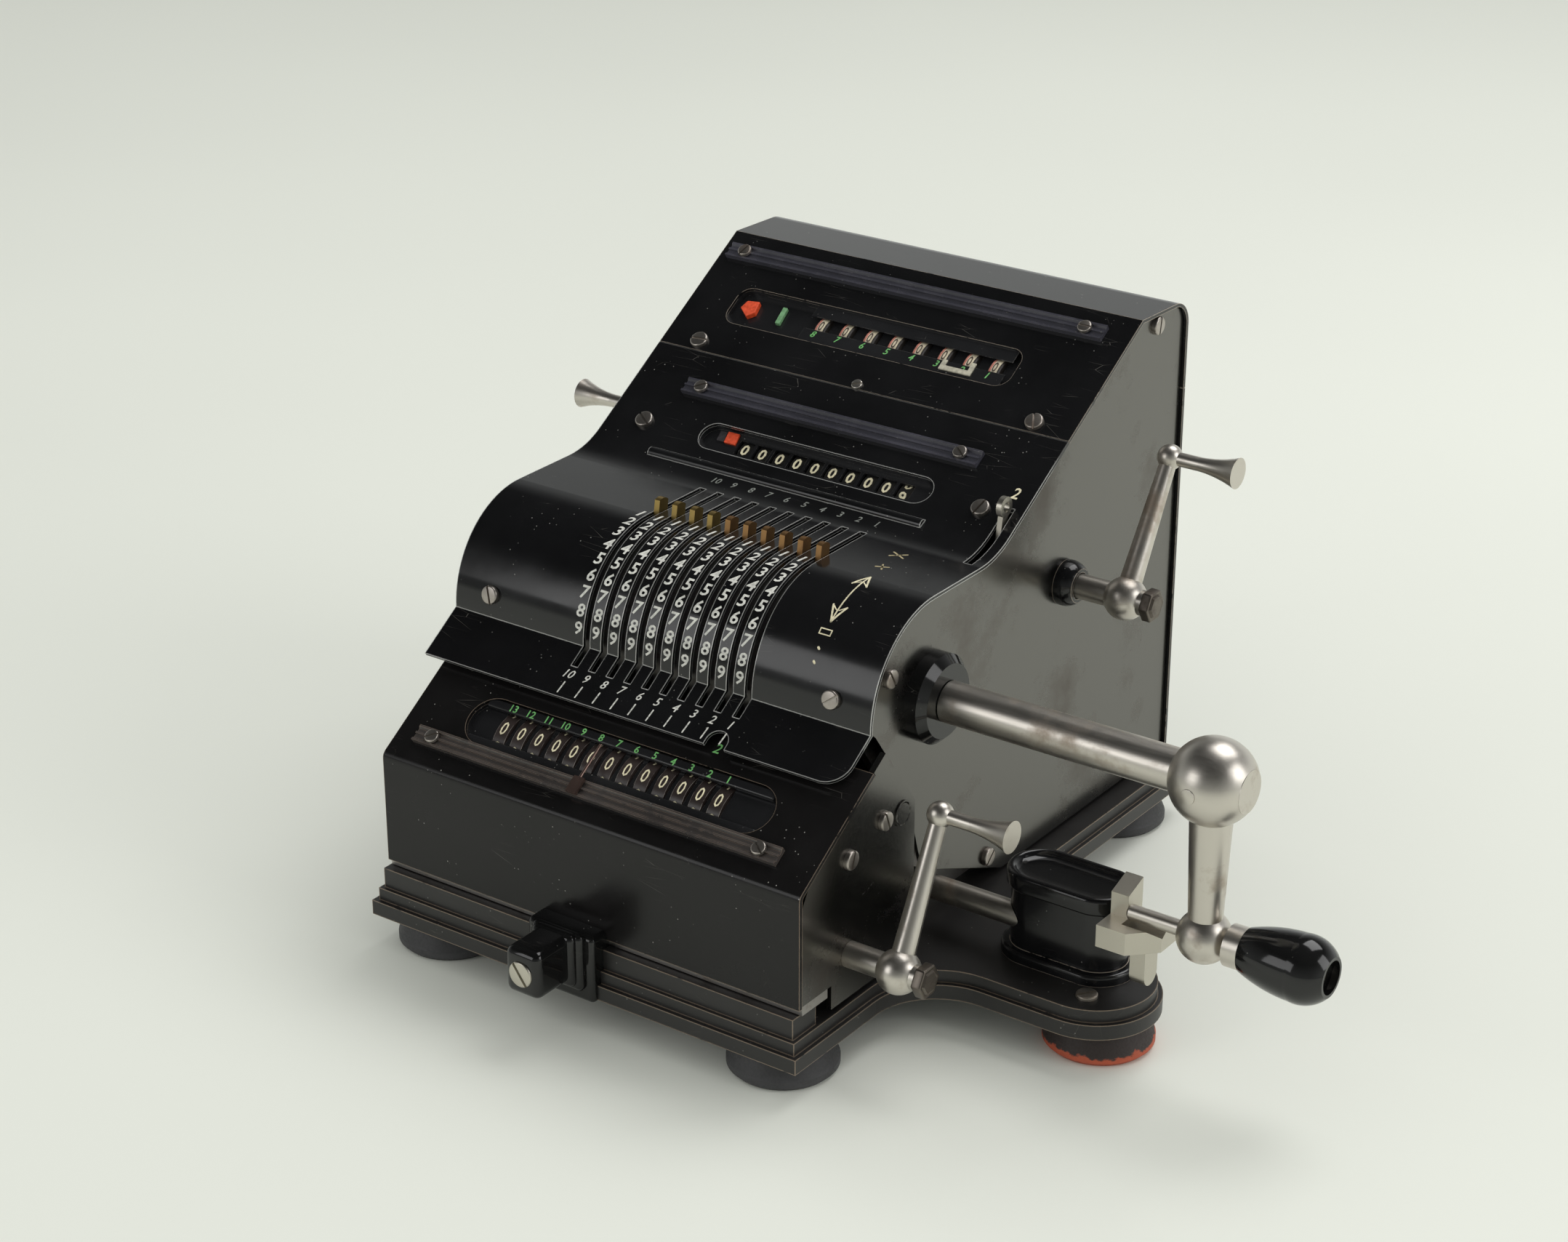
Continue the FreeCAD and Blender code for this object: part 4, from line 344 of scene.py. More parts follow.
# The frame plates, the tie rods, the drum's discs and the axles are bare mild steel, oiled and grey.
# The cranks, the catch and the screws are nickel plate that has gone brown and dull in patches. The
# setting levers are copper at the right and brass at the left.


def bare_metal(name, colour, tarnish, rough, tarnished=0.4, brush=(1.0, 1.0, 1.0), patches=75.0,
               pitted=0.3):
    """Bare or plated metal with a drawn grain and patches of tarnish."""
    look = Finish(name)
    drawn = look.add("ShaderNodeMapping", Vector=look.where, Scale=brush).outputs[0]
    grain = look.noise(1600.0, 2.0, Vector=drawn)
    patch = look.noise(patches, 7.0, Roughness=0.62)
    dull = look.span(patch, 0.68 - 0.3 * tarnished, 0.82 - 0.3 * tarnished, 0.0, 0.75)
    pits = look.span(look.noise(520.0, 3.0), 0.72, 0.78, 0.0, pitted)
    marks = look.combined("MAXIMUM", dull, pits)
    look.link(look.over(marks, (*colour, 1), (*tarnish, 1)), "Base Color")
    look.shader.inputs["Metallic"].default_value = 1.0
    blunt = look.span(marks, 0.0, 0.75, rough, rough + 0.18)
    look.link(look.combined("MULTIPLY_ADD", grain, 0.14, blunt), "Roughness")
    look.relief(grain, 0.12, 0.00003)
    return look.material


steel = bare_metal("oiled_steel", (0.42, 0.40, 0.38), (0.16, 0.12, 0.09), 0.30)
nickel = bare_metal(
    "worn_nickel", (0.60, 0.565, 0.51), (0.33, 0.255, 0.19), 0.27,
    tarnished=0.55, brush=(0.06, 1.0, 1.0), patches=48.0,
)
bright_nickel = bare_metal(
    "bright_nickel", (0.54, 0.51, 0.44), (0.36, 0.30, 0.23), 0.27, tarnished=0.25,
)
brass = bare_metal("yellow_brass", (0.44, 0.31, 0.11), (0.20, 0.12, 0.05), 0.28, tarnished=0.35)
copper = bare_metal(
    "copper_lever", (0.40, 0.225, 0.095), (0.22, 0.11, 0.05), 0.30, tarnished=0.35,
)
for node in (
    "frame_plates", "tie_rods", "pinwheels", "crank_shaft", "register_axles", "carriage_axles",
    "carriage_slide_bar",
):
    dress(node, steel)
for node in (
    "crank_arm", "crank_spindle", "pedestal_rod", "counter_clearing_crank",
    "setting_clearing_crank", "result_clearing_crank",
):
    dress(node, nickel)
dress("crank_catch", bright_nickel)
dress("selector_lever", bright_nickel)
dress("transfer_gears", brass)
copper_levers = 6
for column in range(1, 11):
    dress(f"setting_lever_{column}", copper if column <= copper_levers else brass)

# The side panels and the carriage's end plates are polished blued sheet, cloudy and grey as old
# mirrors. The domed collars pressed into the panels round the clearing shafts are black.

panel_steel = bare_metal(
    "panel_steel", (0.155, 0.150, 0.141), (0.112, 0.098, 0.086), 0.16,
    tarnished=0.45, patches=22.0, pitted=0.1,
)
collar_start = 80.1
dress("side_panels", panel_steel)
panels = nodes["side_panels"].data
panels.materials.append(cover_enamel)
for face in panels.polygons:
    reaches = [abs(panels.vertices[corner].co.x - middle.x) for corner in face.vertices]
    is_collar = sum(reaches) / len(reaches) > collar_start * MM
    face.material_index = 1 if is_collar else 0
dress("carriage_end_plates", panel_steel)

# The carriage's shell is bent sheet in a softer black, rubbed brown along its bends and front. The
# crank's grip is turned from polished black ebonite, and its bearing ring has as deep a gloss. The
# pointer on the carriage's rail is bent from coppery wire.

carriage_paint = painted_metal(
    "carriage_paint", (0.0065, 0.006, 0.006), (0.38, 0.29, 0.22), 0.19,
    wear_width=0.35, wear=0.75, scratches=0.9, dust=0.6,
)
carriage_shader = carriage_paint.node_tree.nodes["Principled BSDF"]
carriage_shader.inputs["Specular IOR Level"].default_value = 0.30
dress("carriage_shell", carriage_paint)
grip_black = painted_metal(
    "grip_black", (0.006, 0.006, 0.006), (0.03, 0.028, 0.026), 0.07,
    wear_width=0.2, wear=0.1, scratches=0.3, dust=0.3, haze=0.08,
)
dress("crank_handle", grip_black)
dress("crank_bearing_boss", grip_black)
pointer_wire = bare_metal(
    "pointer_wire", (0.30, 0.205, 0.175), (0.16, 0.10, 0.08), 0.30, tarnished=0.35,
)
dress("decimal_pointer", pointer_wire)

# The rails for the decimal pointers are ribbed strips: blue-black on the covers, and bronzed on the
# carriage, where hands have rubbed the ribs brown.

rail_blue = painted_metal(
    "rail_blue", (0.040, 0.039, 0.050), (0.16, 0.15, 0.17), 0.22,
    wear_width=0.22, wear=0.35, scratches=0.3, dust=0.3,
)
rail_bronze = painted_metal(
    "rail_bronze", (0.050, 0.043, 0.040), (0.30, 0.22, 0.17), 0.24,
    wear_width=0.25, wear=0.6, scratches=0.4, dust=0.3,
)
dress("setting_decimal_rail", rail_blue)
dress("counter_decimal_rail", rail_blue)
dress("carriage_decimal_rail", rail_bronze)

# The screws of the covers, panels and carriage have low nickel heads with a rounded rim and a slot.
# The heads stand where the plain heads of the frame do, and each slot is turned its own way.

hair = 0.00001
smooth_below = math.radians(35)


def select_only(piece):
    """Makes a piece the active one, and the only one selected."""
    deselect()
    piece.select_set(True)
    bpy.context.view_layer.objects.active = piece


def edit_all():
    """Goes into edit mode with the whole mesh selected."""
    bpy.ops.object.mode_set(mode="EDIT")
    bpy.ops.mesh.select_all(action="SELECT")


def pick_end(block, upward):
    """Selects the flat top or bottom of a block and goes into edit mode."""
    bpy.ops.object.mode_set(mode="EDIT")
    bpy.ops.mesh.select_all(action="DESELECT")
    bpy.ops.object.mode_set(mode="OBJECT")
    sign = 1 if upward else -1
    limit = max(sign * face.center.z for face in block.data.polygons)
    for face in block.data.polygons:
        face.select = sign * face.normal.z > 0.9 and sign * face.center.z > limit - hair
    bpy.ops.object.mode_set(mode="EDIT")


def insets(*rings):
    """Works rings into the selected face from the outside in, each (width, rise)."""
    for thickness, depth in rings:
        bpy.ops.mesh.inset(thickness=thickness * MM, depth=depth * MM)


def stretch(block, length):
    """Pulls the half of a block that lies along X away from the other half."""
    bpy.ops.object.mode_set(mode="EDIT")
    bpy.ops.mesh.select_all(action="DESELECT")
    bpy.ops.object.mode_set(mode="OBJECT")
    for vertex in block.data.vertices:
        vertex.select = vertex.co.x > hair
    bpy.ops.object.mode_set(mode="EDIT")
    bpy.ops.transform.translate(value=(length, 0, 0))
    bpy.ops.object.mode_set(mode="OBJECT")


def soften(rounding, segments):
    """Rounds all the edges of the active block and shades it smooth."""
    edit_all()
    bpy.ops.mesh.bevel(offset=rounding * MM, segments=segments)
    bpy.ops.object.mode_set(mode="OBJECT")
    bpy.ops.object.shade_smooth_by_angle(angle=smooth_below)


def finished(name, body, material, piece):
    """Names a piece, leaves its place in its mesh, and gives it a body, finish and slot."""
    piece.name = name
    piece.data.name = name
    select_only(piece)
    bpy.ops.object.transform_apply(location=True, rotation=True, scale=True)
    piece.data.materials.clear()
    piece.data.materials.append(material)
    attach(piece, body)
    return piece


def joined(name, body, material, pieces):
    """Several copies made one finished piece."""
    deselect()
    for one in pieces:
        one.select_set(True)
    bpy.context.view_layer.objects.active = pieces[0]
    if len(pieces) > 1:
        bpy.ops.object.join()
    return finished(name, body, material, bpy.context.object)


def slotted_head(spot, out, radius, height, slot_angle):
    """One screw head on a surface, facing out, with its rim rounded and its slot cut across."""
    deselect()
    bpy.ops.mesh.primitive_cylinder_add(vertices=40, radius=radius * MM, depth=height * MM)
    head = bpy.context.object
    edit_all()
    bpy.ops.transform.translate(value=(0, 0, height * MM / 2))
    pick_end(head, True)
    bpy.ops.mesh.bevel(offset=0.35 * height * MM, segments=3)
    bpy.ops.object.mode_set(mode="OBJECT")
    bpy.ops.mesh.primitive_cube_add(size=1, location=(0, 0, height * MM))
    blade = bpy.context.object
    blade.scale = (3 * radius * MM, 0.24 * radius * MM, height * MM)
    blade.rotation_euler = (0, 0, slot_angle)
    cut = head.modifiers.new("slot", "BOOLEAN")
    cut.operation = "DIFFERENCE"
    cut.object = blade
    cut.solver = "EXACT"
    select_only(head)
    bpy.ops.object.modifier_apply(modifier=cut.name)
    bpy.data.objects.remove(blade)
    bpy.ops.object.shade_smooth_by_angle(angle=smooth_below)
    head.rotation_mode = "QUATERNION"
    head.rotation_quaternion = Vector(out).to_track_quat("Z", "Y")
    head.location = spot
    return head


def solid_parts(node):
    """Each loose solid of a node, as its middle and its points."""
    holder = bpy.data.objects.new("copy", nodes[node].data.copy())
    bpy.context.scene.collection.objects.link(holder)
    select_only(holder)
    edit_all()
    bpy.ops.mesh.remove_doubles(threshold=hair / 2)
    bpy.ops.mesh.separate(type="LOOSE")
    bpy.ops.object.mode_set(mode="OBJECT")
    found = []
    for part in list(bpy.context.selected_objects):
        points = [vertex.co.copy() for vertex in part.data.vertices]
        found.append((sum(points, Vector()) / len(points), points))
        bpy.data.objects.remove(part)
    return found


def screws_of(node, body, name, material, outward):
    """Slotted heads in the places of a node's plain ones."""
    heads = []
    for index, (centre, points) in enumerate(solid_parts(node)):
        out = outward(centre)
        arms = [point - centre for point in points]
        along = [arm.dot(out) for arm in arms]
        radius = max((arm - out * arm.dot(out)).length for arm in arms)
        height = max(along) - min(along)
        foot = centre + out * min(along)
        slot_angle = 0.6 + 1.9 * index
        heads.append(slotted_head(foot, out, radius / MM, height / MM, slot_angle))
    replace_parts(joined(name, body, material, heads), node)


slope_lean = math.radians(32.0)
slope_out = Vector((0, -math.sin(slope_lean), math.cos(slope_lean)))
carriage_lean = math.radians(33.7)
carriage_out = Vector((0, -math.sin(carriage_lean), math.cos(carriage_lean)))
hump_screw = math.radians(13.0)
hump_out = Vector((0, -math.cos(hump_screw), math.sin(hump_screw)))
hump_reach = -50
panel_reach = 79.5
left_plate_reach, right_plate_reach = -74, 85


def cover_screw_out(centre):
    """Which way a cover screw faces."""
    spot = (centre - middle) / MM
    if abs(spot.x) > panel_reach:
        return Vector((math.copysign(1, spot.x), 0, 0))
    return hump_out if spot.y < hump_reach else slope_out


def carriage_screw_out(centre):
    """Which way a carriage screw faces."""
    spot = (centre - middle) / MM
    if spot.x > right_plate_reach or spot.x < left_plate_reach:
        return Vector((math.copysign(1, spot.x), 0, 0))
    return carriage_out


screw_nickel = bare_metal(
    "screw_nickel", (0.42, 0.385, 0.35), (0.22, 0.16, 0.12), 0.28, tarnished=0.5,
)
screws_of("cover_screws", "machine", "cover_screw_heads", screw_nickel, cover_screw_out)
screws_of("carriage_screws", "carriage", "carriage_screw_heads", screw_nickel, carriage_screw_out)

# The number wheels carry painted digits, nought and one to nine, all round. They are thin plain
# figures, and follow the wheel they sit on. The first of the setting dials stands between digits.


def figure(text, height, out, up, spot, width=1.0, lean=0.0, weight=0.0):
    """One flat figure, standing on a surface at a spot, with its top towards up."""
    digit_share = 0.69
    lift = 0.03
    deselect()
    bpy.ops.object.text_add()
    data = bpy.context.object.data
    data.body = text
    data.align_x = "CENTER"
    data.align_y = "CENTER"
    data.size = height * MM / digit_share
    data.resolution_u = 2
    data.shear = lean
    data.offset = weight * MM
    data.extrude = lift * MM / 2
    bpy.ops.object.convert(target="MESH")
    glyph = bpy.context.object
    xs = [vertex.co.x for vertex in glyph.data.vertices]
    ys = [vertex.co.y for vertex in glyph.data.vertices]
    shift = Vector(((min(xs) + max(xs)) / 2, (min(ys) + max(ys)) / 2, 0))
    for vertex in glyph.data.vertices:
        vertex.co -= shift
        vertex.co.x *= width
    out = Vector(out).normalized()
    up = (Vector(up) - out * Vector(up).dot(out)).normalized()
    side = up.cross(out)
    turn = Matrix((side, up, out)).transposed().to_4x4()
    glyph.matrix_world = Matrix.Translation(Vector(spot) + out * lift * MM) @ turn
    return glyph


def wheel_figures(name, body, material, centres, axis, radius, first_angle, height,
                  width, weight):
    """The ten digits round one or more wheels on one axis."""
    tenth_turn = 36.0
    made = []
    for x in centres:
        for digit in range(10):
            angle = math.radians(first_angle - tenth_turn * digit)
            out = Vector((0, -math.sin(angle), math.cos(angle)))
            up = Vector((0, math.cos(angle), math.sin(angle)))
            spot = place(x, *axis) + out * radius * MM
            made.append(figure(str(digit), height, out, up, spot, width, weight=weight))
    joined(name, body, material, made)


def digit_paint(name, colour, rough=0.45):
    """Old paint in small marks, uneven and a little yellowed."""
    look = Finish(name)
    uneven = look.noise(900.0, 4.0)
    look.link(look.scaled(colour, look.span(uneven, 0.35, 0.65, 0.72, 1.08)), "Base Color")
    look.link(look.span(uneven, 0.3, 0.7, rough, rough + 0.15), "Roughness")
    return look.material


cream = digit_paint("cream_digits", (0.74, 0.67, 0.46))
white = digit_paint("white_digits", (0.66, 0.65, 0.60))
faded = digit_paint("faded_digits", (0.20, 0.21, 0.19))
yellowed = digit_paint("yellowed_digits", (0.42, 0.35, 0.20))
green = digit_paint("green_digits", (0.15, 0.44, 0.13))
dial_black = painted_metal(
    "dial_black", (0.014, 0.013, 0.012), (0.12, 0.09, 0.07), 0.25,
    wear_width=0.15, wear=0.3, scratches=0.2, dust=0.3,
)
column_pitch = 7.0
first_column = 36.0
columns = [first_column - column_pitch * k for k in range(10)]
dial_axis = (20.662, 133.768)
dial_radius = 8.5
dial_view = 32.0
half_turned = -22.0
for column, x in enumerate(columns, start=1):
    dress(f"setting_dial_{column}", dial_black)
    wheel_figures(
        f"dial_digits_{column}", f"dial_{column}", cream, [x], dial_axis,
        dial_radius, dial_view + (half_turned if column == 1 else 0.0),
        height=4.0, width=1.0, weight=0.13,
    )

# The result's wheels are dark brown with cream noughts, and their rims are rubbed bright. A ledge
# runs along the tray above and below them. The upper one has a green place number for each wheel,
# and a green figure is painted on the shell.

result_axis = (-86.997, 69.661)
result_radius = 11.0
result_view = 33.7
result_line = (-93.988, 80.144)
result_columns = [43.0 - column_pitch * k for k in range(13)]
wheel_brown = painted_metal(
    "wheel_brown", (0.032, 0.023, 0.021), (0.50, 0.45, 0.40), 0.26,
    wear_width=0.22, wear=0.5, scratches=0.4, dust=0.3,
)
dress("result_wheels", wheel_brown)
wheel_figures(
    "result_digits", "result_number_wheels", cream, result_columns, result_axis,
    result_radius, result_view, height=4.7, width=0.74, weight=0.03,
)
uphill = Vector((0, math.cos(carriage_lean), math.sin(carriage_lean)))


def on_carriage(x, along, fall):
    """A spot by the result window: so far up the slope from its middle line, and so deep below it."""
    return place(x, *result_line) + uphill * along * MM - carriage_out * fall * MM


ledge_left, ledge_right = -51.5, 60.5
ledge_depth, ledge_thickness, ledge_fall = 3.2, 2.2, 1.6
number_line, lower_line = 6.9, -7.1
green_height = 2.5
for name, along in (("result_number_ledge", number_line), ("result_lower_ledge", lower_line)):
    deselect()
    bpy.ops.mesh.primitive_cube_add(size=1)
    ledge = bpy.context.object
    ledge.scale = ((ledge_right - ledge_left) * MM, ledge_depth * MM, ledge_thickness * MM)
    bpy.ops.object.transform_apply(scale=True)
    soften(0.7, 4)
    ledge.rotation_euler = (carriage_lean, 0, 0)
    ledge.location = on_carriage((ledge_left + ledge_right) / 2, along, ledge_fall)
    finished(name, "carriage", tray_enamel, ledge)
places = []
for number, x in enumerate(result_columns, start=1):
    spot = on_carriage(x, number_line, 0.5)
    places.append(figure(str(number), green_height, carriage_out, uphill, spot, weight=0.05))
roof_spot = on_carriage(33.9, 15.4, 0.0)
places.append(figure("2", 3.4, carriage_out, uphill, roof_spot, lean=0.2, weight=0.05))
joined("result_place_numbers", "carriage", green, places)

# The counter's wheels are narrow and cream, each with a pink stripe at the left and dark digits,
# between two black masks. The upper mask is painted shade: a dark sheet where the slot above the
# wheels lies in shadow. A green place number stands below each wheel. At the left of the window are
# a red arrow and a green bar, and a cream slider lies over the lower mask.

counter_axis = (64.681, 164.458)
counter_radius = 8.3
counter_pitch = 9.83
counter_view = 32.0
counter_half_width = 2.2
counter_columns = [41.3 - counter_pitch * k for k in range(8)]
half_pitch = counter_pitch / 2 * MM
wheel_side = (0.03, 0.025, 0.022, 1)
striped = Finish("counter_striped")
across = striped.add("ShaderNodeSeparateXYZ", Vector=striped.where).outputs["X"]
centred = striped.combined("SUBTRACT", across, middle.x + counter_columns[0] * MM)
wrapped = striped.combined("WRAP", centred, half_pitch, -half_pitch)
band = striped.span(wrapped, -counter_half_width * MM, counter_half_width * MM, 0.0, 1.0)
ramp = striped.add("ShaderNodeValToRGB", Fac=band)
stripes = ramp.color_ramp
stripes.interpolation = "CONSTANT"
stripes.elements[0].color = wheel_side
stripes.elements[1].position = 0.82
stripes.elements[1].color = wheel_side
stripes.elements.new(0.12).color = (0.46, 0.17, 0.13, 1)
stripes.elements.new(0.28).color = (0.56, 0.49, 0.36, 1)
uneven = striped.noise(500.0, 4.0)
shade = striped.span(uneven, 0.3, 0.7, 0.7, 1.15)
striped.link(striped.scaled(ramp.outputs[0], shade), "Base Color")
striped.link(striped.span(uneven, 0.3, 0.7, 0.3, 0.45), "Roughness")
dress("counter_wheels", striped.material)
counter_ink = digit_paint("counter_ink", (0.055, 0.035, 0.03))
wheel_figures(
    "counter_digits", "counter_number_wheels", counter_ink, counter_columns,
    counter_axis, counter_radius, counter_view, height=4.0, width=0.62, weight=0.0,
)
up_slope = Vector((0, math.cos(slope_lean), math.sin(slope_lean)))
slope_y, slope_z = -0.2, 135


def on_slope(x, y, fall):
    """A spot straight in from the sloping cover's face at one depth of the machine."""
    return place(x, y, slope_z + (y - slope_y) * math.tan(slope_lean)) - slope_out * fall * MM


def small_block(corners, top, bottom, round_off):
    """A low block with any outline on the cover's slope: corners are (x, y), heights are falls."""
    deselect()
    bpy.ops.mesh.primitive_circle_add(vertices=len(corners), radius=MM, fill_type="NGON")
    block = bpy.context.object
    for vertex, (x, y) in zip(block.data.vertices, corners):
        vertex.co = on_slope(x, y, bottom)
    edit_all()
    move = slope_out * (bottom - top) * MM
    bpy.ops.mesh.extrude_region_move(TRANSFORM_OT_translate={"value": move})
    bpy.ops.mesh.select_all(action="SELECT")
    bpy.ops.mesh.normals_make_consistent(inside=False)
    bpy.ops.mesh.bevel(offset=round_off * MM, segments=2)
    bpy.ops.object.mode_set(mode="OBJECT")
    return block


def window_mark(name, material, corners, top, bottom, round_off):
    """A small painted block that is seen through a window."""
    block = small_block(corners, top, bottom, round_off)
    finished(name, "machine", material, block)


pan_floor = 3.0
mask_top, mask_bottom = 0.75, 1.2
red_paint = digit_paint("red_paint", (0.72, 0.075, 0.02), 0.35)
bar_green = digit_paint("bar_green", (0.16, 0.34, 0.16), 0.4)
old_cream = digit_paint("old_cream", (0.46, 0.43, 0.34), 0.4)
grey_block_paint = digit_paint("grey_block_paint", (0.045, 0.04, 0.043), 0.35)
# The upper mask is painted shade, a dark sheet in the slot above the wheels; the lower one carries
# the place numbers and the slider.
for label, low, high in (("upper", 62.2, 66.6), ("lower", 52.8, 57.7)):
    outline = [(-33.0, low), (46.5, low), (46.5, high), (-33.0, high)]
    mask_and_shade_sheet = small_block(outline, mask_top, mask_bottom, 0.15)
    finished(f"counter_{label}_mask", "machine", tray_enamel, mask_and_shade_sheet)
arrow = [(-60.0, 62.4), (-55.3, 62.9), (-54.6, 58.8), (-57.0, 57.0), (-61.0, 59.6)]
window_mark("counter_red_arrow", red_paint, arrow, 1.0, pan_floor, 0.2)
bar = [(-46.0, 63.4), (-44.2, 63.4), (-43.6, 57.4), (-45.4, 57.4)]
window_mark("counter_green_bar", bar_green, bar, 1.6, pan_floor, 0.2)
tray_slider = [
    (22.9, 57.8), (24.6, 57.8), (24.6, 55.9), (33.4, 55.9),
    (33.4, 58.8), (35.1, 58.8), (35.1, 54.3), (22.9, 54.3),
]
window_mark("counter_slider", old_cream, tray_slider, 0.15, mask_top, 0.12)
numbers = []
for number, x in enumerate(counter_columns, start=1):
    spot = on_slope(x - 0.6, 56.1, mask_top)
    number_glyph = figure(
        str(number), green_height, slope_out, up_slope, spot, lean=0.2, weight=0.05,
    )
    numbers.append(number_glyph)
joined("counter_place_numbers", "machine", green, numbers)

# The setting window has a red mark beside a grey stop at the left of the dials, and a row of small
# pale dots along its lower edge.

red_mark = [(-36.0, 18.2), (-31.4, 18.2), (-30.8, 14.4), (-35.4, 14.4)]
window_mark("setting_red_mark", red_paint, red_mark, 2.2, pan_floor, 0.15)
grey_stop = [(-39.2, 18.0), (-36.3, 18.0), (-35.7, 14.6), (-38.6, 14.6)]
window_mark("setting_grey_stop", grey_block_paint, grey_stop, 2.4, pan_floor, 0.2)
dots = []
first_dot, dot_pitch, dot_radius = -29.4, 7.12, 0.45
for index in range(9):
    deselect()
    bpy.ops.mesh.primitive_uv_sphere_add(segments=14, ring_count=8, radius=dot_radius * MM)
    dot = bpy.context.object
    dot.scale = (1, 1, 0.5)
    bpy.ops.object.shade_smooth()
    dot.rotation_euler = (slope_lean, 0, 0)
    dot.location = on_slope(first_dot + dot_pitch * index, 10.9, pan_floor)
    dots.append(dot)
joined("setting_window_dots", "machine", old_cream, dots)

# The scales: figures one to nine run down the hump to the left of every slot, and each slot has its
# number and a tick on the lip. They are engraved and filled with white. The signs are beside them,
# and a row of faded place numbers stands below the setting window.

drum_axis = (-35.0, 101.5)
cover_radius = 33.5
crease = (-68.5, 101.5)
lip_lean = math.atan2(10.7, 15.9)
bend_radius = 31.4
bend_axis = (-9.204, 166.4)
bend_end = 7.436


def cover_spot(x, y):
    """A point on the outside of the front cover, with the way out and the way up along it."""
    if y < crease[0]:
        out = Vector((0, -math.sin(lip_lean), math.cos(lip_lean)))
        spot = place(x, y, crease[1] + (y - crease[0]) * math.tan(lip_lean))
    elif y < drum_axis[0]:
        across = (y - drum_axis[0]) / cover_radius
        out = Vector((0, across, math.sqrt(1 - across * across)))
        spot = place(x, *drum_axis) + out * cover_radius * MM
    elif y < bend_axis[0]:
        out = Vector((0, 0, 1))
        spot = place(x, y, drum_axis[1] + cover_radius)
    elif y < bend_end:
        across = (y - bend_axis[0]) / bend_radius
        out = Vector((0, -across, math.sqrt(1 - across * across)))
        spot = place(x, *bend_axis) - out * bend_radius * MM
    else:
        out = slope_out
        spot = on_slope(x, y, 0)
    return spot, out, Vector((0, out.z, -out.y))


def cover_figure(text, height, x, y, width=1.0, lean=0.0, weight=0.0):
    """A figure on the front cover."""
    spot, out, up = cover_spot(x, y)
    return figure(text, height, out, up, spot, width, lean, weight)


def stroke(start, end, width):
    """A straight painted stroke that follows the front cover, as short bars with rounded ends."""
    bar_length = 1.6
    paint_depth = 0.12
    bars = []
    pieces = max(1, math.ceil(abs(end[1] - start[1]) / bar_length))
    for index in range(pieces):
        near = [a + (b - a) * index / pieces for a, b in zip(start, end)]
        far = [a + (b - a) * (index + 1) / pieces for a, b in zip(start, end)]
        first, out, up = cover_spot(*near)
        last, last_out, up = cover_spot(*far)
        along = last - first
        out = (out + last_out).normalized()
        deselect()
        bpy.ops.mesh.primitive_cylinder_add(
            vertices=12, radius=width / 2 * MM, depth=paint_depth * MM,
        )
        mark = bpy.context.object
        stretch(mark, along.length)
        side = out.cross(along.normalized())
        turn = Matrix((along.normalized(), side.normalized(), out)).transposed().to_4x4()
        mark.matrix_world = Matrix.Translation(first) @ turn
        bars.append(mark)
    return bars


first_figure_angle = 90.5
figure_step = 10.0
strip_middle = 3.45
scale_height = 4.1
lip_number_y, tick_top, tick_foot = -77.3, -79.9, -83.2
faded_y = -1.0
scale_figures = []
for x in columns:
    for digit in range(1, 10):
        angle = math.radians(first_figure_angle + figure_step * (digit - 1))
        y = drum_axis[0] + cover_radius * math.cos(angle)
        scale_figures.append(cover_figure(
            str(digit), scale_height, x - strip_middle, y, width=1.08, lean=0.12, weight=0.10,
        ))
joined("setting_scale", "machine", white, scale_figures)
lip_marks = []
for number, x in enumerate(columns, start=1):
    lip_marks.append(cover_figure(str(number), 3.0, x, lip_number_y, lean=0.25, weight=0.03))
    lip_marks += stroke((x + 0.2, tick_top), (x - 0.2, tick_foot), 0.5)
joined("lip_numbers", "machine", white, lip_marks)
faint = []
for number, x in enumerate(columns, start=1):
    faint.append(cover_figure(str(number), 2.7, x + 1.2, faded_y, lean=0.15, weight=0.02))
joined("faded_place_numbers", "machine", faded, faint)
signs = []
for ends in (
    ((52.9, -17.4), (57.3, -13.8)), ((52.6, -14.3), (57.6, -16.9)),
    ((54.2, -26.8), (58.0, -25.2)), ((55.3, -24.4), (56.9, -27.7)),
):
    signs += stroke(*ends, 0.6)
joined("sign_strokes", "machine", yellowed, signs)
arrow_x = 57.6
arrow_marks = []
for start, end, wide in (
    ((0, -55.0), (0, -35.2), 0.5),
    ((0, -34.6), (-2.6, -40.6), 0.65), ((0, -34.6), (2.6, -40.6), 0.65),
    ((-2.6, -40.6), (-0.5, -38.8), 0.4), ((2.6, -40.6), (0.5, -38.8), 0.4),
    ((0, -55.6), (-2.5, -50.6), 0.65), ((0, -55.6), (2.5, -50.6), 0.65),
    ((-2.5, -50.6), (-0.5, -52.0), 0.4), ((2.5, -50.6), (0.5, -52.0), 0.4),
    ((-2.0, -57.7), (2.0, -57.7), 0.4), ((-2.0, -59.0), (2.0, -59.0), 0.4),
    ((-2.0, -57.7), (-2.0, -59.0), 0.4), ((2.0, -57.7), (2.0, -59.0), 0.4),
    ((-0.2, -61.8), (0.2, -62.0), 0.8), ((-0.2, -64.2), (0.2, -64.4), 0.8),
):
    arrow_marks += stroke((arrow_x + start[0], start[1]), (arrow_x + end[0], end[1]), wide)
arrow_marks.append(cover_figure("2", 4.2, 74.7, 20.9, width=0.9, lean=0.1, weight=0.08))
joined("crank_signs", "machine", cream, arrow_marks)

# A small slotted pin holds the seam of the two covers together between the windows.

seam_pin = slotted_head(on_slope(-0.4, 42.3, 0), slope_out, 1.9, 1.1, 0.4)
finished("seam_pin", "machine", nickel, seam_pin)

# Each clearing crank is held on its shaft by a dark hexagon nut with rounded corners.


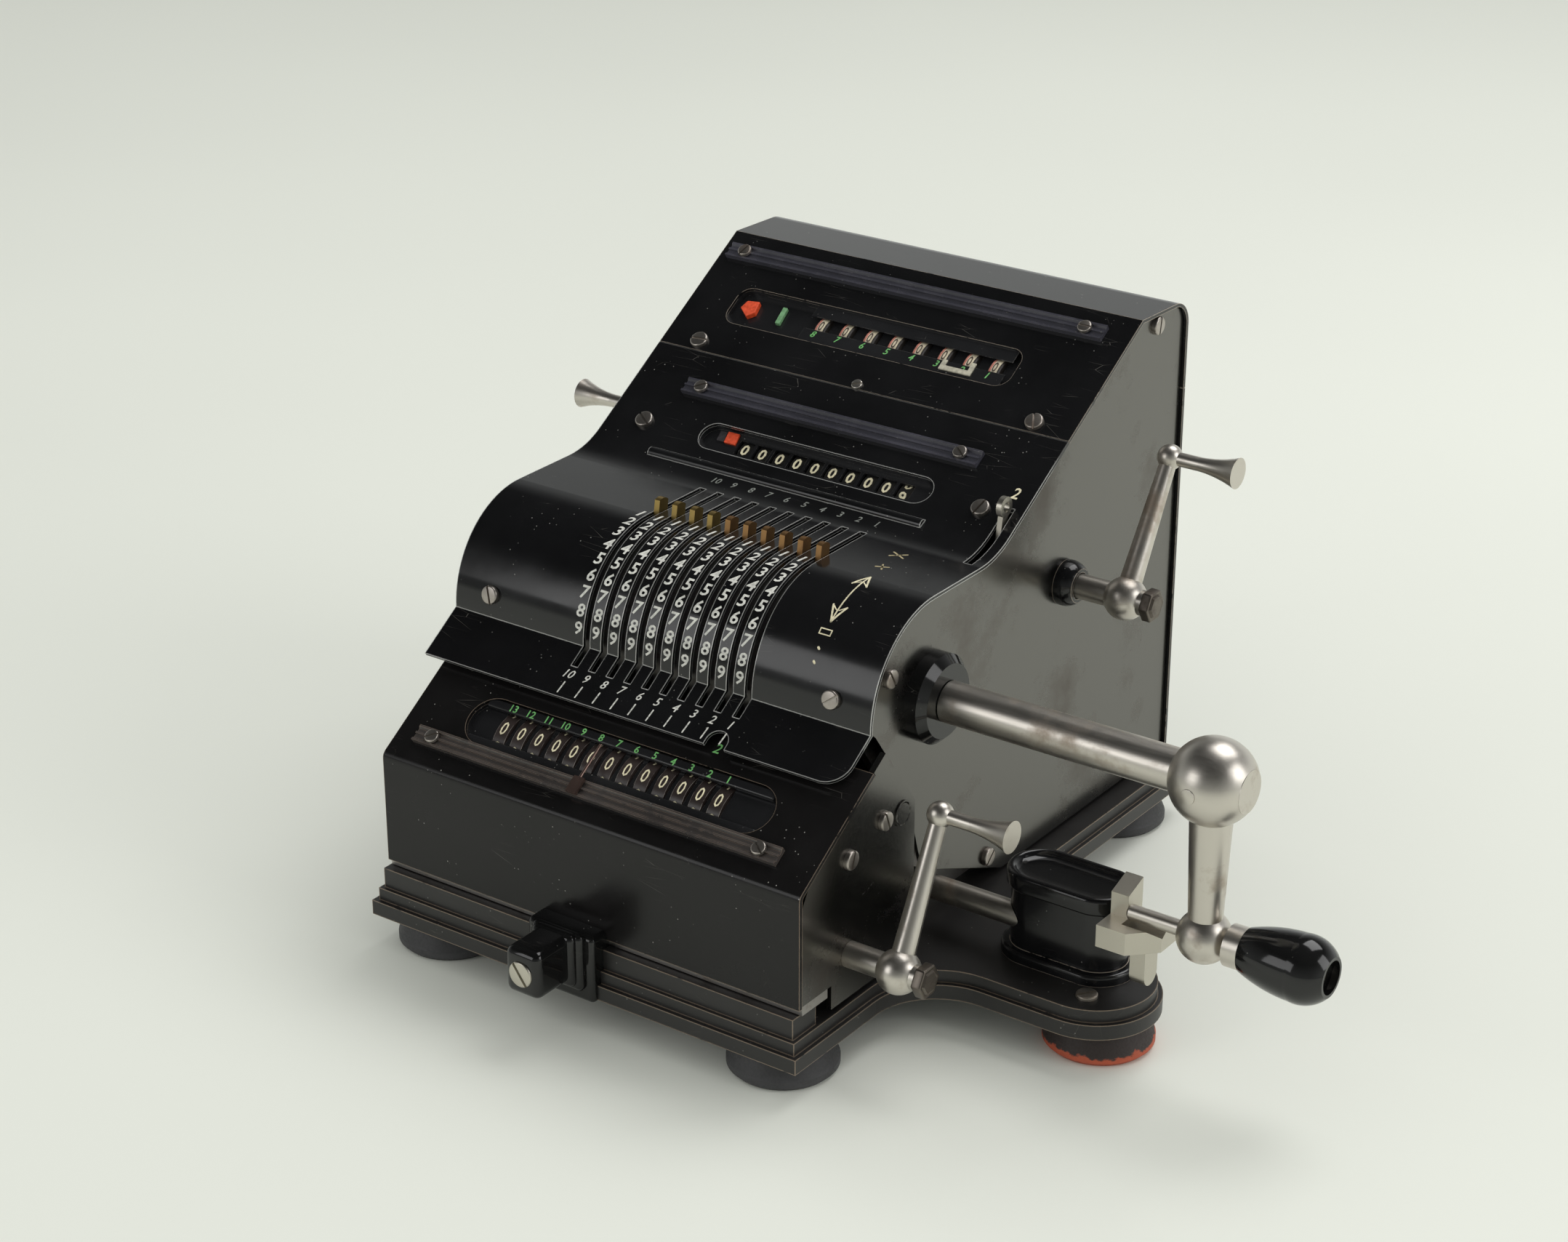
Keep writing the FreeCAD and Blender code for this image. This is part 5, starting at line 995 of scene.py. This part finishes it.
def hexagon_nut(spot, side, across, height):
    """A nut facing left or right, with a sunk ring round the raised end of its shaft."""
    deselect()
    radius = across / math.sqrt(3) * MM
    bpy.ops.mesh.primitive_cylinder_add(vertices=6, radius=radius, depth=height * MM)
    nut = bpy.context.object
    edit_all()
    bpy.ops.mesh.bevel(offset=0.45 * MM, segments=3)
    pick_end(nut, True)
    insets((0.9, -0.3), (0.5, 0.7))
    bpy.ops.object.mode_set(mode="OBJECT")
    bpy.ops.object.shade_smooth_by_angle(angle=smooth_below)
    nut.rotation_euler = (0, side * math.pi / 2, 0)
    nut.location = spot
    return nut


dark_steel = bare_metal(
    "dark_steel", (0.16, 0.14, 0.12), (0.07, 0.055, 0.045), 0.30, tarnished=0.5,
)
nut_places = {
    "result_clearer": (113.8, -86.6, 37.4),
    "counter_clearer": (111.9, 43.6, 111.4),
    "setting_clearer": (-109.3, 28.0, 88.0),
}
for body, spot in nut_places.items():
    nut = hexagon_nut(place(*spot), math.copysign(1, spot[0]), across=9.6, height=3.4)
    finished(f"{body}_nut", body, dark_steel, nut)

# A taper pin through the big ball locks the crank's arm to its sleeve; only its flat end shows, at
# the front of the ball.

deselect()
ball_x = 178.4
pin_reach = 13.25
bpy.ops.mesh.primitive_cylinder_add(vertices=36, radius=2.4 * MM, depth=0.8 * MM)
pin_end = bpy.context.object
soften(0.18, 2)
pin_way = Vector((-0.089, -0.996, 0.005)).normalized()
pin_end.rotation_mode = "QUATERNION"
pin_end.rotation_quaternion = pin_way.to_track_quat("Z", "Y")
pin_end.location = place(ball_x, *drum_axis) + pin_way * pin_reach * MM
finished("crank_pin_end", "crank", nickel, pin_end)

# The crank's rest is an oval casting in thick glossy enamel: a flanged foot, a waist, and a bead
# round a dished top.


def oval_block(left, right, radius, y, low, high):
    """An upright block with round ends, ready to be shaped."""
    deselect()
    bpy.ops.mesh.primitive_cylinder_add(vertices=72, radius=radius * MM, depth=(high - low) * MM)
    block = bpy.context.object
    stretch(block, (right - left - 2 * radius) * MM)
    block.location = place(left + radius, y, (low + high) / 2)
    return block


rest_left, rest_right, rest_y = 104.0, 149.0, -24.5
rest_foot, rest_top, head_height, flange_height = 20.4, 50.0, 6.0, 3.6
head = oval_block(
    rest_left + 1.2, rest_right - 1.2, 11.3, rest_y, rest_top - head_height, rest_top,
)
pick_end(head, True)
bpy.ops.mesh.bevel(offset=1.5 * MM, segments=5)
pick_end(head, True)
insets((0.6, -0.25), (0.6, -0.75), (0.7, -0.55), (1.6, -0.35), (2.5, -0.1))
pick_end(head, False)
bpy.ops.mesh.bevel(offset=1.0 * MM, segments=4)
pick_end(head, False)
insets((0.5, 0.0))
waist = (0, 0, -(rest_top - head_height - rest_foot) * MM)
bpy.ops.mesh.extrude_region_move(TRANSFORM_OT_translate={"value": waist})
bpy.ops.object.mode_set(mode="OBJECT")
foot = oval_block(rest_left, rest_right, 12.5, rest_y, rest_foot, rest_foot + flange_height)
pick_end(foot, True)
bpy.ops.mesh.bevel(offset=1.2 * MM, segments=4)
bpy.ops.object.mode_set(mode="OBJECT")
for part in (head, foot):
    select_only(part)
    bpy.ops.object.shade_smooth_by_angle(angle=smooth_below)
rest = joined("crank_rest", "machine", cover_enamel, [head, foot])
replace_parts(rest, "crank_rest_pedestal")

# The shift handle is a glossy black bar with rounded edges that grows in steps out of a flanged
# foot. A slotted nickel screw is sunk in its end.

handle_x, handle_z = 1.0, 25.6
handle_low, handle_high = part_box("shift_handle")
handle_end = (handle_low.y - middle.y) / MM
handle_back = (handle_high.y - middle.y) / MM
bar_end = handle_end + 0.8
flange_face = -119.5
shift_parts = []
for width, height, z, front, back, rounding in (
    (26.0, 23.0, 21.5, flange_face, handle_back, 1.8),
    (20.0, 20.0, 24.0, flange_face - 2.4, flange_face + 1.5, 2.3),
    (16.6, 18.2, 25.0, flange_face - 4.6, flange_face + 0.5, 2.3),
    (13.5, 16.0, handle_z, bar_end, flange_face, 2.8),
):
    deselect()
    bpy.ops.mesh.primitive_cube_add(size=1)
    block = bpy.context.object
    block.scale = Vector((width, back - front, height)) * MM
    block.location = place(handle_x, (front + back) / 2, z)
    bpy.ops.object.transform_apply(location=True, scale=True)
    soften(rounding, 5)
    shift_parts.append(block)
shift = joined("shift_handle_bar", "shifter", grip_black, shift_parts)
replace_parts(shift, "shift_handle")
screw_spot = place(handle_x, bar_end + 0.6, handle_z)
end_screw = slotted_head(screw_spot, Vector((0, -1, 0)), 4.3, 1.35, 2.2)
finished("shift_handle_screw", "shifter", bright_nickel, end_screw)

# On the right end plate a round plug fills the hole of the wheels' axle. A small screw goes into the
# top of the lobe, in front of the rest.

deselect()
bpy.ops.mesh.primitive_cylinder_add(vertices=40, radius=4.3 * MM, depth=0.7 * MM)
plug = bpy.context.object
pick_end(plug, True)
insets((0.45, 0.0), (0.25, -0.35), (0.25, 0.3))
bpy.ops.object.mode_set(mode="OBJECT")
bpy.ops.object.shade_smooth_by_angle(angle=smooth_below)
plate_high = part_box("carriage_end_plates")[1]
plug_rise = Vector((0.1, 0, 0))
plug.rotation_euler = (0, math.pi / 2, 0)
plug.location = Vector((plate_high.x, *place(0, -58.9, 73.2).yz)) + plug_rise * MM
finished("end_plate_plug", "carriage", panel_steel, plug)
lobe_screw = slotted_head(place(143.1, -41.3, 20.3), Vector((0, 0, 1)), 3.4, 1.3, 0.9)
finished("lobe_screw", "machine", nickel, lobe_screw)
